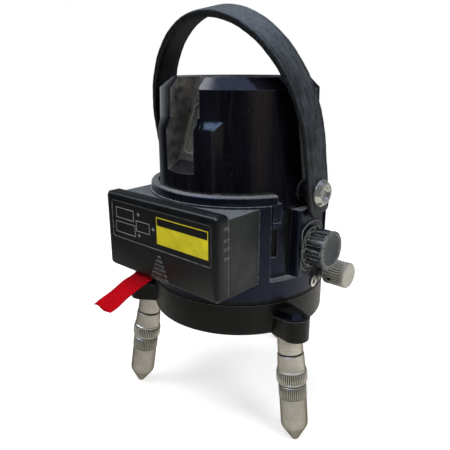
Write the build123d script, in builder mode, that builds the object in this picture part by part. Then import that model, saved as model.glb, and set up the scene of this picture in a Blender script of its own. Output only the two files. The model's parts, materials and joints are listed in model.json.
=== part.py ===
from build123d import *
import os
from math import cos, pi, radians, sin, sqrt, tan

os.makedirs("parts", exist_ok=True)

# Line laser level on three levelling legs, in millimetres.
# The origin is the point on the ground under the turning axis, with +Z up.
# The battery box faces -Y and the two knobs are on the +X side.

# Fits
run_clear = 0.06        # radial clearance of a shaft that turns or slides in a bore
seat_clear = 0.05       # radial clearance of a piece that is pushed into its seat
move_gap = 0.35         # gap between faces of pieces that move past each other

# Base
base_step = 0.3         # the base is this much slimmer than the housing above it
base_bottom_z = 72.5
base_height = 20.4
base_edge_r = 1.2
base_wall = 3.0
base_floor = 3.5
base_root_r = 4.0       # rounding inside, where the wall meets the floor
base_boss_r = 18.0
tripod_drill_r = 6.75   # tapping drill of a 5/8 inch tripod thread
tripod_depth = 14.0
tripod_insert_r = 10.0
tripod_flange_r = 13.0
tripod_flange = 2.0

# Turntable between base and housing
seam_gap = 0.8
post_r = 9.0
post_flange_r = 15.0
post_flange = 3.0
post_neck_r = 7.0
post_reach = 1.0        # the post stops this far under the top of the band
washer = 1.6
wheel_hub = 3.0

# Levelling legs
leg_angles = {"right": -19.13, "left": -139.13, "rear": 100.87}
foot_spread = 15.15     # the tips of the feet stand this far outside the base
leg_splay = 8.57
foot_r = 8.7
foot_tip_r = 2.8
foot_tip_arc = 62.0
foot_worn = 0.12        # the tip is worn level by the floor, this deep
foot_cone = 11.4
foot_blend = 1.6
foot_top = 39.6         # along the leg from its tip to the top of the foot's knurl
foot_knurl = 8.6
foot_knurl_r = 9.0
nut_gap = 0.8
nut_knurl = 9.8
nut_lip = 1.6           # plain lip above and below the nut's knurl
nut_knurl_r = 9.9
nut_r = 9.2
nut_neck_r = 8.4
nut_skirt = 10.2
sleeve_r = 8.0
sleeve_spigot_r = 6.2
sleeve_bore_r = 4.6
spindle_r = 4.0
spindle_flat = 3.0      # from the spindle's axis to the flat that stops it turning
seal_height = 0.8
knurl_count = 44
knurl_depth = 0.55
knurl_width = 0.9
edge_break = 0.5        # small bevel that takes the edge off a turned piece
spigot_gap = 2.8
spindle_rise = 1.0      # the spindle reaches this far above the nut
lug_root = 7.5          # distances in and out from the base's rim to the centres of a lug's two ends
lug_reach = 9.9
lug_root_r = 10.8
lug_end_r = 8.6
lug_height = 12.2
lug_roof = 1.0
cap_inset = 0.9
cap_edge = 1.0
cap_height = 3.8
cap_slope = 48.0

# Lower housing
housing_r = 59.8
bead_step = 0.8
bead_edge_r = 2.0
band_height = 13.8
band_wall = 9.4
floor_plate = 3.0
housing_wall = 5.6
pocket_angle = 31.2     # half of the open pocket around each side pad, seen from above
strip_turn = 2.4        # the strip left of the box is turned this much, as the box stands off centre
bead_angle = 27.0
bead_height = 5.5
bead_top_z = 161.0
pad_half = 13.5
pad_height = 43.0
pad_step = 0.4
pad_edge_r = 1.8
latch_start = -28.4     # angles of the latch tab that hangs from the bead beside each strip
latch_end = -22.5
latch_step = 3.8
latch_web = 0.8
latch_z = 146.0
latch_hook_z = 141.0
latch_hook = 2.6
latch_slot_end = -24.1
latch_slot_z = 121.0
latch_slot_height = 18.0
latch_slot_depth = 1.6

# Upper housing
barrel_step = 5.8       # the barrel's foot is this much slimmer than the lower housing
barrel_taper = 2.8
barrel_top_z = 226.8
barrel_chamfer = 6.5
barrel_wall = 2.6

# Slot and leaning window at the front of the upper housing
slot_half = 11.0
slot_wall = 2.2
slot_chamfer = 1.2
sill_depth = 6.1        # from the barrel's upper radius in to the foot of the window
sill_z = 178.0
sill_fall = 30.0
window_lean = 22.0
boss_rise = 4.4
boss_half = 22.5
boss_foot_half = 27.5
boss_shoulder_z = 197.0
boss_top_z = 204.5
glass_width = 18.0
glass_length = 32.0
glass_margin = 1.8
glass = 2.0
glass_sink = 0.6
glass_corner_r = 4.0
glass_start = 4.0       # from the sill up to the lower edge of the opening

# Battery box, cover and cells
box_x = -1.35           # middle of the box and its cover
cover_width = 97.3
cover_reach = 13.5      # the cover's front stands this far outside the housing
cover_depth = 9.0
cover_bottom_z = 106.7
cover_over = 3.4        # the cover is this much higher than the box
cover_wall = 2.0
cover_corner_r = 3.0
cover_bevel = 1.6
box_inset = 0.6
box_headroom = 0.88     # above the highest cell
box_wall = 1.3
box_side = 1.8
box_floor = 1.0
pack_depth = 37.3       # from the cover's front to the back of the box
box_gap = 0.8
box_rib = 1.5
box_rib_x = 12.45
cell_r = 7.1
cell_length = 49.5
cell_cap_r = 2.6
cell_cap = 1.2
cell_pitch = 14.35
cell_clear = 0.35       # between the cells and the cover's inner face
cell_shift = 14.75
grip_rows = 6
grip_pitch = 2.75
grip_base = 15.0
grip_x = -0.7
grip_z = 109.3
label_width = 86.6
label_height = 24.0
label_centre = (-1.3, 139.5)
label_sink = 0.5
tick_z = (132.5, 138.0, 143.1, 149.7)
tick_length = 4.1
rib_height = 1.2
rib_rise = 0.5
contact = 0.4
contact_width = 10.0
spring_r = 4.0

# Ribbon that lifts the cells out
ribbon_width = 16.6
ribbon = 0.5
ribbon_space = 0.62     # between the box's floor and the lowest cell
ribbon_x = -18.4
ribbon_top_z = 122.4
ribbon_back = 16.9      # distances behind the cover's front
ribbon_bend_r = 5.5
ribbon_turn = 4.9
ribbon_dip_r = 1.5
ribbon_dip = 58.0
ribbon_drop = 1.9
ribbon_slope = 19.0
ribbon_tail = ((14.2, 100.6), (31.2, 94.4))  # distances before the cover's front, with heights
ribbon_notch = 18.2
ribbon_notch_depth = 5.3

# Strap and its rivets
strap_z = 160.0
strap_lean = 12.4
strap_space = 10.0      # from the barrel's foot out to the strap's outer face
strap = 3.2
strap_crown = 4.6       # thickness at the top of the arch
strap_bow = -1.5        # the top of the arch stands this far off centre
strap_width = 20.8
strap_straight = 30.0
strap_rise = 79.0
strap_tail = 14.0
rivet_r = 8.4
rivet_head = 3.9
rivet_shank_r = 3.0
rivet_boss_r = 7.0
rivet_tail = 1.4
rivet_rim_r = 6.3
rivet_dish_r = 4.6
rivet_floor_r = 3.4

# Power and lock knob
knob_z = 125.3
knob_r = 12.2
knob_length = 14.0
knob_flutes = 14
knob_flute_r = 1.7
knob_flange_r = 13.4
knob_flange = 1.4
knob_cap_r = 10.6
knob_cap = 1.4
knob_shaft_r = 3.0
dial_r = 16.5
dial = 1.0
cam_r = 6.5
cam_throw = 3.0
cam_width = 6.0
switch_r = 6.6
switch_depth = 8.0
switch_seat = 2.0

# Lock pad and magnetic damper
lock_r = 4.0
lock_length = 9.0
bar_width = 18.0
bar = 2.6
bar_space = 7.2         # from the knob's axis up to the bar
bar_lug = 3.0
bar_lug_width = 10.0
ledge = 3.0
magnet_r = 4.0
magnet = 3.0
magnet_spread = 11.0
damper_r = 17.0
damper = 2.6
damper_space = 3.9      # between the magnets and the damper disc

# Pendulum and its gimbal
gimbal_drop = 26.8      # from the barrel's top down to the gimbal's axes
gimbal_space = 3.0      # between the gimbal ring and the lens mount
gimbal_ring_width = 4.0
gimbal_ring_height = 6.0
gimbal_pin_r = 1.2
bearing_r = 2.4
cheek_space = 2.0       # between the gimbal ring and the bracket's cheeks
cheek = 3.0
cheek_width = 10.0
bracket_depth = 22.0
stem_width = 10.0
pivot_width = 12.0
laser_drop = 14.0       # from the gimbal's axes down to the beam
laser_r = 6.0
laser_length = 25.0
clamp_width = 17.0
clamp_back = 8.0        # the clamp block reaches this far behind the stem to balance the lens
lens_space = 24.1       # from the foot of the window back to the lens mount
lens_drop = 3.5         # from the beam down to the foot of the lens mount
lens_mount_width = 23.0
lens_mount_height = 24.2
lens_mount_depth = 5.5
lens_r = 3.0
lens_length = 16.0
beam_r = 2.0

# Worm drive for fine turning
worm_y = 24.0
worm_z = 101.0
worm_teeth = 40
worm_pitch_r = 3.2
worm_root_r = 2.2
worm_tip_r = 4.0
worm_turns = 5
worm_crest = 0.7
worm_root_width = 1.3
tooth_clear = 0.2
wheel_height = 4.0
fine_shaft_r = 2.0
fine_knob_r = 8.6
fine_knob_length = 16.2
fine_knob_notches = 60
fine_knob_depth = 0.3
fine_knob_bevel = 0.8
fine_bush_flange = 3.0
fine_bush_r = 5.0
fine_bush_flange_r = 6.0
fine_bush_step = 1.0
set_screw_r = 1.5
set_screw_inset = 5.75
set_screw_angle = 197.0
worm_block_x = -17.5
worm_block = 5.0
worm_block_width = 8.0
worm_phase = -0.25      # share of a lead that puts a thread gap over a wheel tooth

# Socket on the lower band
socket_angle = 4.6
socket_z = 99.4
socket_r = 3.9
socket_body_r = 3.0
socket_bore_r = 1.75
socket_depth = 9.0
socket_rim = 0.8

# Circuit board
board_space = 4.2       # between the board's edges and the barrel
board_width = 56.0
board_height = 46.0
board_z = 140.0
board = 1.6
board_margin = 4.0
standoff_r = 2.6

# Heights and radii that follow from the sizes above
base_r = housing_r - base_step
foot_circle_r = base_r + foot_spread
bead_r = housing_r - bead_step
band_in_r = housing_r - band_wall
wall_in_r = housing_r - housing_wall
pad_face_x = housing_r - pad_step
latch_r = housing_r - latch_step
latch_web_r = latch_r - latch_web
barrel_foot_r = housing_r - barrel_step
barrel_top_r = barrel_foot_r - barrel_taper
sill_y = sill_depth - barrel_top_r
boss_r = barrel_top_r + boss_rise
cover_front_y = -housing_r - cover_reach
box_back_y = cover_front_y + pack_depth
ribbon_back_y = cover_front_y + ribbon_back
ribbon_turn_y = cover_front_y + ribbon_turn
ribbon_notch_y = cover_front_y + ribbon_notch_depth
strap_half = barrel_foot_r + strap_space
lens_back_y = sill_y + lens_space
fine_bush_end_x = housing_r - fine_bush_step
base_top_z = base_bottom_z + base_height
turret_z = base_top_z + seam_gap
band_top_z = turret_z + band_height
floor_top_z = turret_z + floor_plate
post_foot_z = turret_z - washer - post_flange
bead_z = bead_top_z - bead_height
shoulder_z = barrel_top_z - barrel_chamfer
box_height = box_floor + ribbon_space + 2 * cell_r + 2 * cell_pitch + box_headroom + box_wall
cover_height = box_height + cover_over
roof_z = barrel_top_z - barrel_wall
box_half = cover_width / 2 - box_inset
box_front_y = cover_front_y + cover_depth
cover_in_y = cover_front_y + cover_wall
cell_y = cover_in_y + cell_clear + cell_r
cell_z = band_top_z + box_floor + ribbon_space + cell_r
ribbon_z = band_top_z + box_floor + ribbon_space / 2
cell_rows = {"bottom": (-1, 0), "middle": (1, 1), "top": (-1, 2)}
strap_in_x = strap_half - strap
knob_x = pad_face_x + dial + move_gap
wheel_pitch_r = worm_y - worm_pitch_r
worm_lead = 2 * pi * wheel_pitch_r / worm_teeth
worm_half = worm_lead * worm_turns / 2
fine_knob_x = fine_bush_end_x + move_gap
set_screw_x = fine_knob_x + set_screw_inset
gimbal_z = barrel_top_z - gimbal_drop
gimbal_r = -lens_back_y - gimbal_space
gimbal_in_r = gimbal_r - gimbal_ring_width
cheek_x = gimbal_r + cheek_space
laser_z = gimbal_z - laser_drop
bar_z = knob_z + bar_space
damper_z = bar_z + bar + magnet + damper_space
barrel_in_r = barrel_foot_r - barrel_wall - barrel_taper / 4
board_y = sqrt((barrel_in_r - board_space) ** 2 - (board_width / 2) ** 2)
switch_end_x = barrel_in_r - switch_seat
bar_end_y = sqrt(barrel_in_r**2 - bar_width**2 / 4) - move_gap
lock_z = knob_z + cam_r - cam_throw + move_gap
lens_y = lens_back_y - lens_mount_depth
lens_mount_z = laser_z + lens_mount_height / 2 - lens_drop


def across(x, y=0.0, z=0.0):
    """Plane that faces +X, with local x along Y and local y along Z."""
    return Plane(origin=(x, y, z), x_dir=(0, 1, 0), z_dir=(1, 0, 0))


def facing_front(y, x=0.0, z=0.0):
    """Plane that faces -Y, with local x along X and local y along Z."""
    return Plane(origin=(x, y, z), x_dir=(1, 0, 0), z_dir=(0, -1, 0))


def level(z, x=0.0, y=0.0):
    """Plane that faces +Z at a height."""
    return Plane(origin=(x, y, z))


def ring(plane, outer_r, inner_r=0.0):
    """Disc, or annulus, on a plane."""
    with BuildSketch(plane) as face:
        Circle(outer_r)
        if inner_r > 0:
            Circle(inner_r, mode=Mode.SUBTRACT)
    return face.sketch


def panel(plane, width, height, corner_r=0.0):
    """Rectangle about a plane's origin, with rounded corners where they are asked for."""
    with BuildSketch(plane) as face:
        if corner_r > 0:
            RectangleRounded(width, height, corner_r)
        else:
            Rectangle(width, height)
    return face.sketch


def outline(points, plane=Plane.XZ):
    """Closed face through points on a plane."""
    with BuildSketch(plane) as face:
        with BuildLine():
            Polyline(*points, close=True)
        make_face()
    return face.sketch


def sector(plane, outer_r, inner_r, start, end):
    """Part of an annulus between two angles."""
    with BuildSketch(plane) as face:
        with BuildLine():
            rim = CenterArc((0, 0), outer_r, start, end - start)
            inner = CenterArc((0, 0), inner_r, start, end - start)
            Line(rim @ 0, inner @ 0)
            Line(rim @ 1, inner @ 1)
        make_face()
    return face.sketch


def notched_disc(plane, outer_r, notches, depth, width):
    """Disc whose rim has straight V notches, as a knurled ring has."""
    with BuildSketch(plane) as face:
        Circle(outer_r)
        with PolarLocations(outer_r, notches):
            Polygon((-depth, 0), (depth, width), (depth, -width), align=None, mode=Mode.SUBTRACT)
    return face.sketch


def finish(piece, name):
    """Name a finished piece and write it to its own file."""
    piece.part.label = name
    export_step(piece.part, f"parts/{name}.step")


def leg_foot_point(angle):
    """Point on the ground under a foot's tip."""
    return (foot_circle_r * cos(radians(angle)), foot_circle_r * sin(radians(angle)), 0)


def leg_direction(angle):
    """Direction of a leg's axis, up and towards the turning axis."""
    lean = sin(radians(leg_splay))
    return (-lean * cos(radians(angle)), -lean * sin(radians(angle)), cos(radians(leg_splay)))


def leg_axis(angle):
    """Axis of a leg, from its tip upwards."""
    return Axis(leg_foot_point(angle), leg_direction(angle))


def leg_section(angle):
    """Plane through a leg's axis: local x is the radius, local y the distance from the tip."""
    tangent = (sin(radians(angle)), -cos(radians(angle)), 0)
    up = Vector(*leg_direction(angle))
    return Plane(origin=leg_foot_point(angle), x_dir=up.cross(Vector(*tangent)), z_dir=tangent)


def leg_level(angle, distance):
    """Plane square to a leg at a distance from its tip, with local x pointing outwards."""
    up = Vector(*leg_direction(angle))
    origin = Vector(*leg_foot_point(angle)) + up * distance
    tangent = Vector(-sin(radians(angle)), cos(radians(angle)), 0)
    return Plane(origin=origin, x_dir=tangent.cross(up), z_dir=up)


# Distances along a leg from its tip
nut_bottom = foot_top + nut_gap
nut_knurl_top = nut_bottom + nut_knurl
nut_top = nut_knurl_top + nut_skirt
sleeve_bottom = nut_top + seal_height
lug_top = base_bottom_z / cos(radians(leg_splay)) + lug_height
sleeve_top = lug_top - lug_roof
spigot_bottom = nut_knurl_top + spigot_gap
spindle_top = nut_top + spindle_rise



def lug_plan(plane, axis_r, inset):
    """Outline of a lug from the base's rim outwards, on a plane that meets its middle at a radius."""
    with BuildSketch(plane) as face:
        with Locations((base_r - lug_root - axis_r, 0)):
            Circle(lug_root_r - inset)
        with Locations((base_r + lug_reach - axis_r, 0)):
            Circle(lug_end_r - inset)
        make_hull()
    return face.sketch


def lug_solid(angle):
    """Lug that holds a leg, level below and square to the leg above."""
    outwards = (cos(radians(angle)), sin(radians(angle)), 0)
    with BuildPart() as solid:
        foot = Plane(origin=(0, 0, base_bottom_z), x_dir=outwards, z_dir=(0, 0, 1))
        extrude(lug_plan(foot, 0, 0), amount=base_height)
        split(bisect_by=leg_level(angle, lug_top), keep=Keep.BOTTOM)
    return solid.part


# Base
with BuildPart() as base_housing:
    with BuildSketch(Plane.XZ):
        with BuildLine():
            Line((0, base_bottom_z), (base_r - base_edge_r, base_bottom_z))
            RadiusArc(
                (base_r - base_edge_r, base_bottom_z),
                (base_r, base_bottom_z + base_edge_r),
                -base_edge_r,
            )
            Line((base_r, base_bottom_z + base_edge_r), (base_r, base_top_z))
            Line((base_r, base_top_z), (0, base_top_z))
            Line((0, base_top_z), (0, base_bottom_z))
        make_face()
    revolve(axis=Axis.Z)
    cavity_r = base_r - base_wall
    cavity_z = base_bottom_z + base_floor
    with BuildSketch(Plane.XZ):
        with BuildLine():
            Line((base_boss_r, cavity_z), (cavity_r - base_root_r, cavity_z))
            RadiusArc(
                (cavity_r - base_root_r, cavity_z),
                (cavity_r, cavity_z + base_root_r),
                -base_root_r,
            )
            Line((cavity_r, cavity_z + base_root_r), (cavity_r, base_top_z))
            Line((cavity_r, base_top_z), (base_boss_r, base_top_z))
            Line((base_boss_r, base_top_z), (base_boss_r, cavity_z))
        make_face()
    revolve(axis=Axis.Z, mode=Mode.SUBTRACT)
    extrude(ring(level(post_foot_z), base_boss_r), amount=base_height, mode=Mode.SUBTRACT)
    for angle in leg_angles.values():
        add(lug_solid(angle))
    for radius, depth in ((tripod_insert_r, base_height), (tripod_flange_r, tripod_flange)):
        extrude(ring(level(base_bottom_z), radius + seat_clear), amount=depth, mode=Mode.SUBTRACT)
    for angle in leg_angles.values():
        extrude(ring(leg_level(angle, 0), sleeve_r + seat_clear), amount=sleeve_top, mode=Mode.SUBTRACT)
finish(base_housing, "base_housing")

with BuildPart() as tripod_insert:
    extrude(ring(level(base_bottom_z), tripod_insert_r, tripod_drill_r), amount=tripod_depth)
    extrude(ring(level(base_bottom_z), tripod_flange_r, tripod_drill_r), amount=tripod_flange)
finish(tripod_insert, "tripod_insert")

with BuildPart() as pivot_post:
    extrude(ring(level(post_foot_z), post_flange_r), amount=post_flange)
    extrude(ring(level(post_foot_z), post_r), amount=floor_top_z + move_gap - post_foot_z)
    extrude(ring(level(post_foot_z), post_neck_r), amount=band_top_z - post_reach - post_foot_z)
finish(pivot_post, "pivot_post")

with BuildPart() as thrust_washer:
    extrude(ring(level(turret_z - washer), post_flange_r, post_r + run_clear), amount=washer - run_clear)
finish(thrust_washer, "thrust_washer")

with BuildPart() as worm_wheel:
    hub_z = floor_top_z + move_gap
    wheel_z = worm_z - wheel_height / 2
    extrude(
        ring(level(hub_z), post_r + wheel_hub, post_neck_r + seat_clear),
        amount=wheel_z + wheel_height - hub_z,
    )
    wheel_root_r = worm_y - worm_tip_r - move_gap
    wheel_tip_r = worm_y - worm_root_r - tooth_clear
    with BuildSketch(level(wheel_z)):
        Circle(wheel_root_r)
        with PolarLocations(wheel_root_r, worm_teeth, start_angle=90):
            Polygon(
                (-tooth_clear, worm_root_width / 2),
                (wheel_tip_r - wheel_root_r, worm_crest / 2),
                (wheel_tip_r - wheel_root_r, -worm_crest / 2),
                (-tooth_clear, -worm_root_width / 2),
                align=None,
            )
        Circle(post_neck_r + seat_clear, mode=Mode.SUBTRACT)
    extrude(amount=wheel_height)
finish(worm_wheel, "worm_wheel")

with BuildPart() as post_nut:
    with BuildSketch(level(worm_z + wheel_height / 2)):
        RegularPolygon(post_r + wheel_hub, 6)
        Circle(post_neck_r + seat_clear, mode=Mode.SUBTRACT)
    extrude(amount=band_top_z - 2 * post_reach - worm_z - wheel_height / 2)
finish(post_nut, "post_nut")

# Legs
for side, angle in leg_angles.items():
    section = leg_section(angle)

    with BuildPart() as leg_sleeve:
        revolve(
            outline(
                [
                    (sleeve_bore_r, spigot_bottom),
                    (sleeve_spigot_r, spigot_bottom),
                    (sleeve_spigot_r, sleeve_bottom),
                    (sleeve_r, sleeve_bottom),
                    (sleeve_r, sleeve_top),
                    (sleeve_bore_r, sleeve_top),
                ],
                section,
            ),
            axis=leg_axis(angle),
        )
        with BuildSketch(leg_level(angle, spigot_bottom)):
            Circle((sleeve_bore_r + sleeve_spigot_r) / 2)
            with Locations((spindle_flat + run_clear - sleeve_spigot_r, 0)):
                Rectangle(2 * sleeve_spigot_r, 4 * sleeve_spigot_r, mode=Mode.SUBTRACT)
        extrude(amount=nut_top - spigot_bottom)
    finish(leg_sleeve, f"leg_sleeve_{side}")

    with BuildPart() as leg_nut:
        revolve(
            outline(
                [
                    (spindle_r + run_clear, nut_bottom + edge_break),
                    (spindle_r + run_clear + edge_break, nut_bottom),
                    (nut_r - edge_break, nut_bottom),
                    (nut_r, nut_knurl_top),
                    (nut_neck_r, nut_top),
                    (sleeve_spigot_r + run_clear, nut_top),
                    (sleeve_spigot_r + run_clear, nut_knurl_top),
                    (spindle_r + run_clear, nut_knurl_top),
                ],
                section,
            ),
            axis=leg_axis(angle),
        )
        extrude(
            notched_disc(
                leg_level(angle, nut_bottom + nut_lip),
                nut_knurl_r,
                knurl_count,
                knurl_depth,
                knurl_width,
            ),
            amount=nut_knurl - 2 * nut_lip,
        )
        extrude(
            ring(leg_level(angle, nut_bottom), spindle_r + run_clear),
            amount=nut_knurl,
            mode=Mode.SUBTRACT,
        )
    finish(leg_nut, f"leg_nut_{side}")

    with BuildPart() as leg_foot:
        with BuildSketch(section):
            with BuildLine():
                tip = CenterArc((0, foot_tip_r - foot_worn), foot_tip_r, -90, foot_tip_arc)
                cone = Line(tip @ 1, (foot_r - foot_blend / 3, foot_cone - foot_blend / 2))
                Spline(cone @ 1, (foot_r, foot_cone + foot_blend), tangents=(cone % 1, (0, 1)))
                Polyline(
                    (foot_r, foot_cone + foot_blend),
                    (foot_r, foot_top),
                    (spindle_r, foot_top),
                    (spindle_r, spindle_top),
                    (0, spindle_top),
                    (0, -foot_worn),
                )
            make_face()
        revolve(axis=leg_axis(angle))
        split(bisect_by=Plane.XY, keep=Keep.TOP)
        extrude(
            notched_disc(
                leg_level(angle, foot_top - foot_knurl),
                foot_knurl_r,
                knurl_count,
                knurl_depth,
                knurl_width,
            ),
            amount=foot_knurl - edge_break,
        )
        with BuildSketch(leg_level(angle, nut_knurl_top)):
            with Locations((spindle_flat + spindle_r, 0)):
                Rectangle(2 * spindle_r, 4 * spindle_r)
        extrude(amount=spindle_top - nut_knurl_top, mode=Mode.SUBTRACT)
    finish(leg_foot, f"leg_foot_{side}")

with BuildPart() as leg_seals:
    for angle in leg_angles.values():
        extrude(
            ring(leg_level(angle, nut_top + run_clear), sleeve_r - edge_break, sleeve_spigot_r + seat_clear),
            amount=seal_height - run_clear,
        )
finish(leg_seals, "leg_seals")

with BuildPart() as lug_caps:
    cap_axis_r = foot_circle_r - lug_top * sin(radians(leg_splay))
    for angle in leg_angles.values():
        extrude(lug_plan(leg_level(angle, lug_top), cap_axis_r, cap_inset), amount=cap_edge)
        crown = lug_plan(leg_level(angle, lug_top + cap_edge), cap_axis_r, cap_inset)
        extrude(crown, amount=cap_height - cap_edge, taper=cap_slope)
    extrude(ring(level(base_bottom_z), base_r + seat_clear), amount=base_height, mode=Mode.SUBTRACT)
finish(lug_caps, "lug_caps")

# Lower housing
def socket_plane(radius):
    """Plane square to the socket's axis, facing outwards, at a distance from the turning axis."""
    out = Vector(cos(radians(socket_angle)), sin(radians(socket_angle)), 0)
    return Plane(origin=out * radius + Vector(0, 0, socket_z), x_dir=(0, 0, 1), z_dir=out)


with BuildPart() as lower_housing:
    extrude(ring(level(turret_z), housing_r, post_r + run_clear), amount=band_height)
    extrude(ring(level(floor_top_z), band_in_r), amount=band_height, mode=Mode.SUBTRACT)
    for start, end in ((pocket_angle, 180 - pocket_angle), (pocket_angle - 180 - strip_turn, -pocket_angle)):
        extrude(sector(level(band_top_z), housing_r, wall_in_r, start, end), amount=bead_z - band_top_z)
    for start, end in ((bead_angle, 180 - bead_angle), (bead_angle - 180 - strip_turn, -bead_angle)):
        extrude(sector(level(bead_z), bead_r, wall_in_r, start, end), amount=bead_height)
    bead_rims = edges().filter_by_position(Axis.Z, bead_top_z, bead_top_z).filter_by(GeomType.CIRCLE)
    fillet(bead_rims.filter_by(lambda rim: rim.radius > wall_in_r + bead_edge_r), bead_edge_r)
    extrude(
        panel(level(band_top_z, box_x, -housing_r), 2 * (box_half + seat_clear), housing_r),
        amount=box_height + seat_clear,
        mode=Mode.SUBTRACT,
    )
    for side in (1, -1):
        with BuildSketch(level(band_top_z)):
            with Locations((side * pad_face_x / 2, 0)):
                RectangleRounded(pad_face_x, 2 * pad_half, pad_edge_r)
            Circle(barrel_foot_r + move_gap, mode=Mode.SUBTRACT)
        extrude(amount=pad_height)
    for start in (latch_start, -180 - latch_end - strip_turn):
        end = start + latch_end - latch_start
        extrude(sector(level(latch_z), latch_r, wall_in_r, start, end), amount=bead_z - latch_z)
        extrude(sector(level(latch_hook_z), latch_web_r, wall_in_r, start, end), amount=bead_z - latch_hook_z)
        extrude(sector(level(latch_hook_z), latch_r, wall_in_r, start, end), amount=latch_hook)
    extrude(
        panel(level(floor_top_z, worm_block_x, worm_y), worm_block, worm_block_width),
        amount=worm_block_width,
    )
    extrude(
        ring(across(worm_block_x - worm_block, worm_y, worm_z), fine_shaft_r + run_clear),
        amount=housing_r,
        mode=Mode.SUBTRACT,
    )
    extrude(ring(across(0, worm_y, worm_z), fine_bush_r + seat_clear), amount=housing_r, mode=Mode.SUBTRACT)
    extrude(
        ring(across(fine_bush_end_x - fine_bush_flange, worm_y, worm_z), fine_bush_flange_r + seat_clear),
        amount=housing_r,
        mode=Mode.SUBTRACT,
    )
    extrude(ring(across(0, 0, knob_z), knob_shaft_r + run_clear), amount=housing_r, mode=Mode.SUBTRACT)
    extrude(
        ring(socket_plane(band_in_r / 2), socket_body_r + seat_clear),
        amount=housing_r,
        mode=Mode.SUBTRACT,
    )
finish(lower_housing, "lower_housing")

# Upper housing
window_up = Vector(0, sin(radians(window_lean)), cos(radians(window_lean)))
window_out = Vector(0, -cos(radians(window_lean)), sin(radians(window_lean)))


def window_plane(depth):
    """Plane of the slot's floor, facing out and moved back by a depth, at the opening's centre."""
    centre = Vector(0, sill_y, sill_z) + window_up * (glass_start + glass_length / 2) - window_out * depth
    return Plane(origin=centre, x_dir=(1, 0, 0), z_dir=window_out)


def slot_solid(half_width, grow):
    """Space in front of the slot's floor and sill, as a tool, grown by a wall thickness."""
    reach = 2 * boss_r
    rise = barrel_top_z / 4
    with BuildPart() as solid:
        with BuildSketch(across(-half_width)):
            with BuildLine():
                Polyline(
                    (sill_y, sill_z),
                    (-reach, sill_z - (reach + sill_y) * tan(radians(sill_fall))),
                    (-reach, sill_z + rise),
                    (sill_y + rise * tan(radians(window_lean)), sill_z + rise),
                    close=True,
                )
            make_face()
            if grow > 0:
                offset(amount=grow, kind=Kind.INTERSECTION)
        extrude(amount=2 * half_width)
    return solid.part


glass_seat_width = glass_width + 2 * glass_margin
glass_seat_length = glass_length + 2 * glass_margin

with BuildPart() as boss:
    boss_side_y = -sqrt(boss_r**2 - boss_half**2)
    boss_foot_y = -sqrt(barrel_top_r**2 - boss_foot_half**2)
    with BuildSketch(level(bead_top_z)):
        with BuildLine():
            ThreePointArc((-boss_half, boss_side_y), (0, -boss_r), (boss_half, boss_side_y))
            Polyline(
                (boss_half, boss_side_y),
                (boss_foot_half, boss_foot_y),
                (-boss_foot_half, boss_foot_y),
                (-boss_half, boss_side_y),
            )
        make_face()
    extrude(amount=boss_top_z - bead_top_z)
    with BuildSketch(Plane.XZ):
        Polygon(
            (0, bead_top_z),
            (boss_r, bead_top_z),
            (boss_r, boss_shoulder_z),
            (barrel_top_r, boss_top_z),
            (0, boss_top_z),
            align=None,
        )
    revolve(axis=Axis.Z, mode=Mode.INTERSECT)

with BuildPart() as hollow:
    with BuildSketch(Plane.XZ):
        Polygon(
            (0, band_top_z),
            (barrel_foot_r - barrel_wall, band_top_z),
            (barrel_top_r - barrel_wall, shoulder_z),
            (barrel_top_r - barrel_chamfer, roof_z),
            (0, roof_z),
            align=None,
        )
    revolve(axis=Axis.Z)
    add(slot_solid(slot_half + slot_wall, slot_wall), mode=Mode.SUBTRACT)

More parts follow.
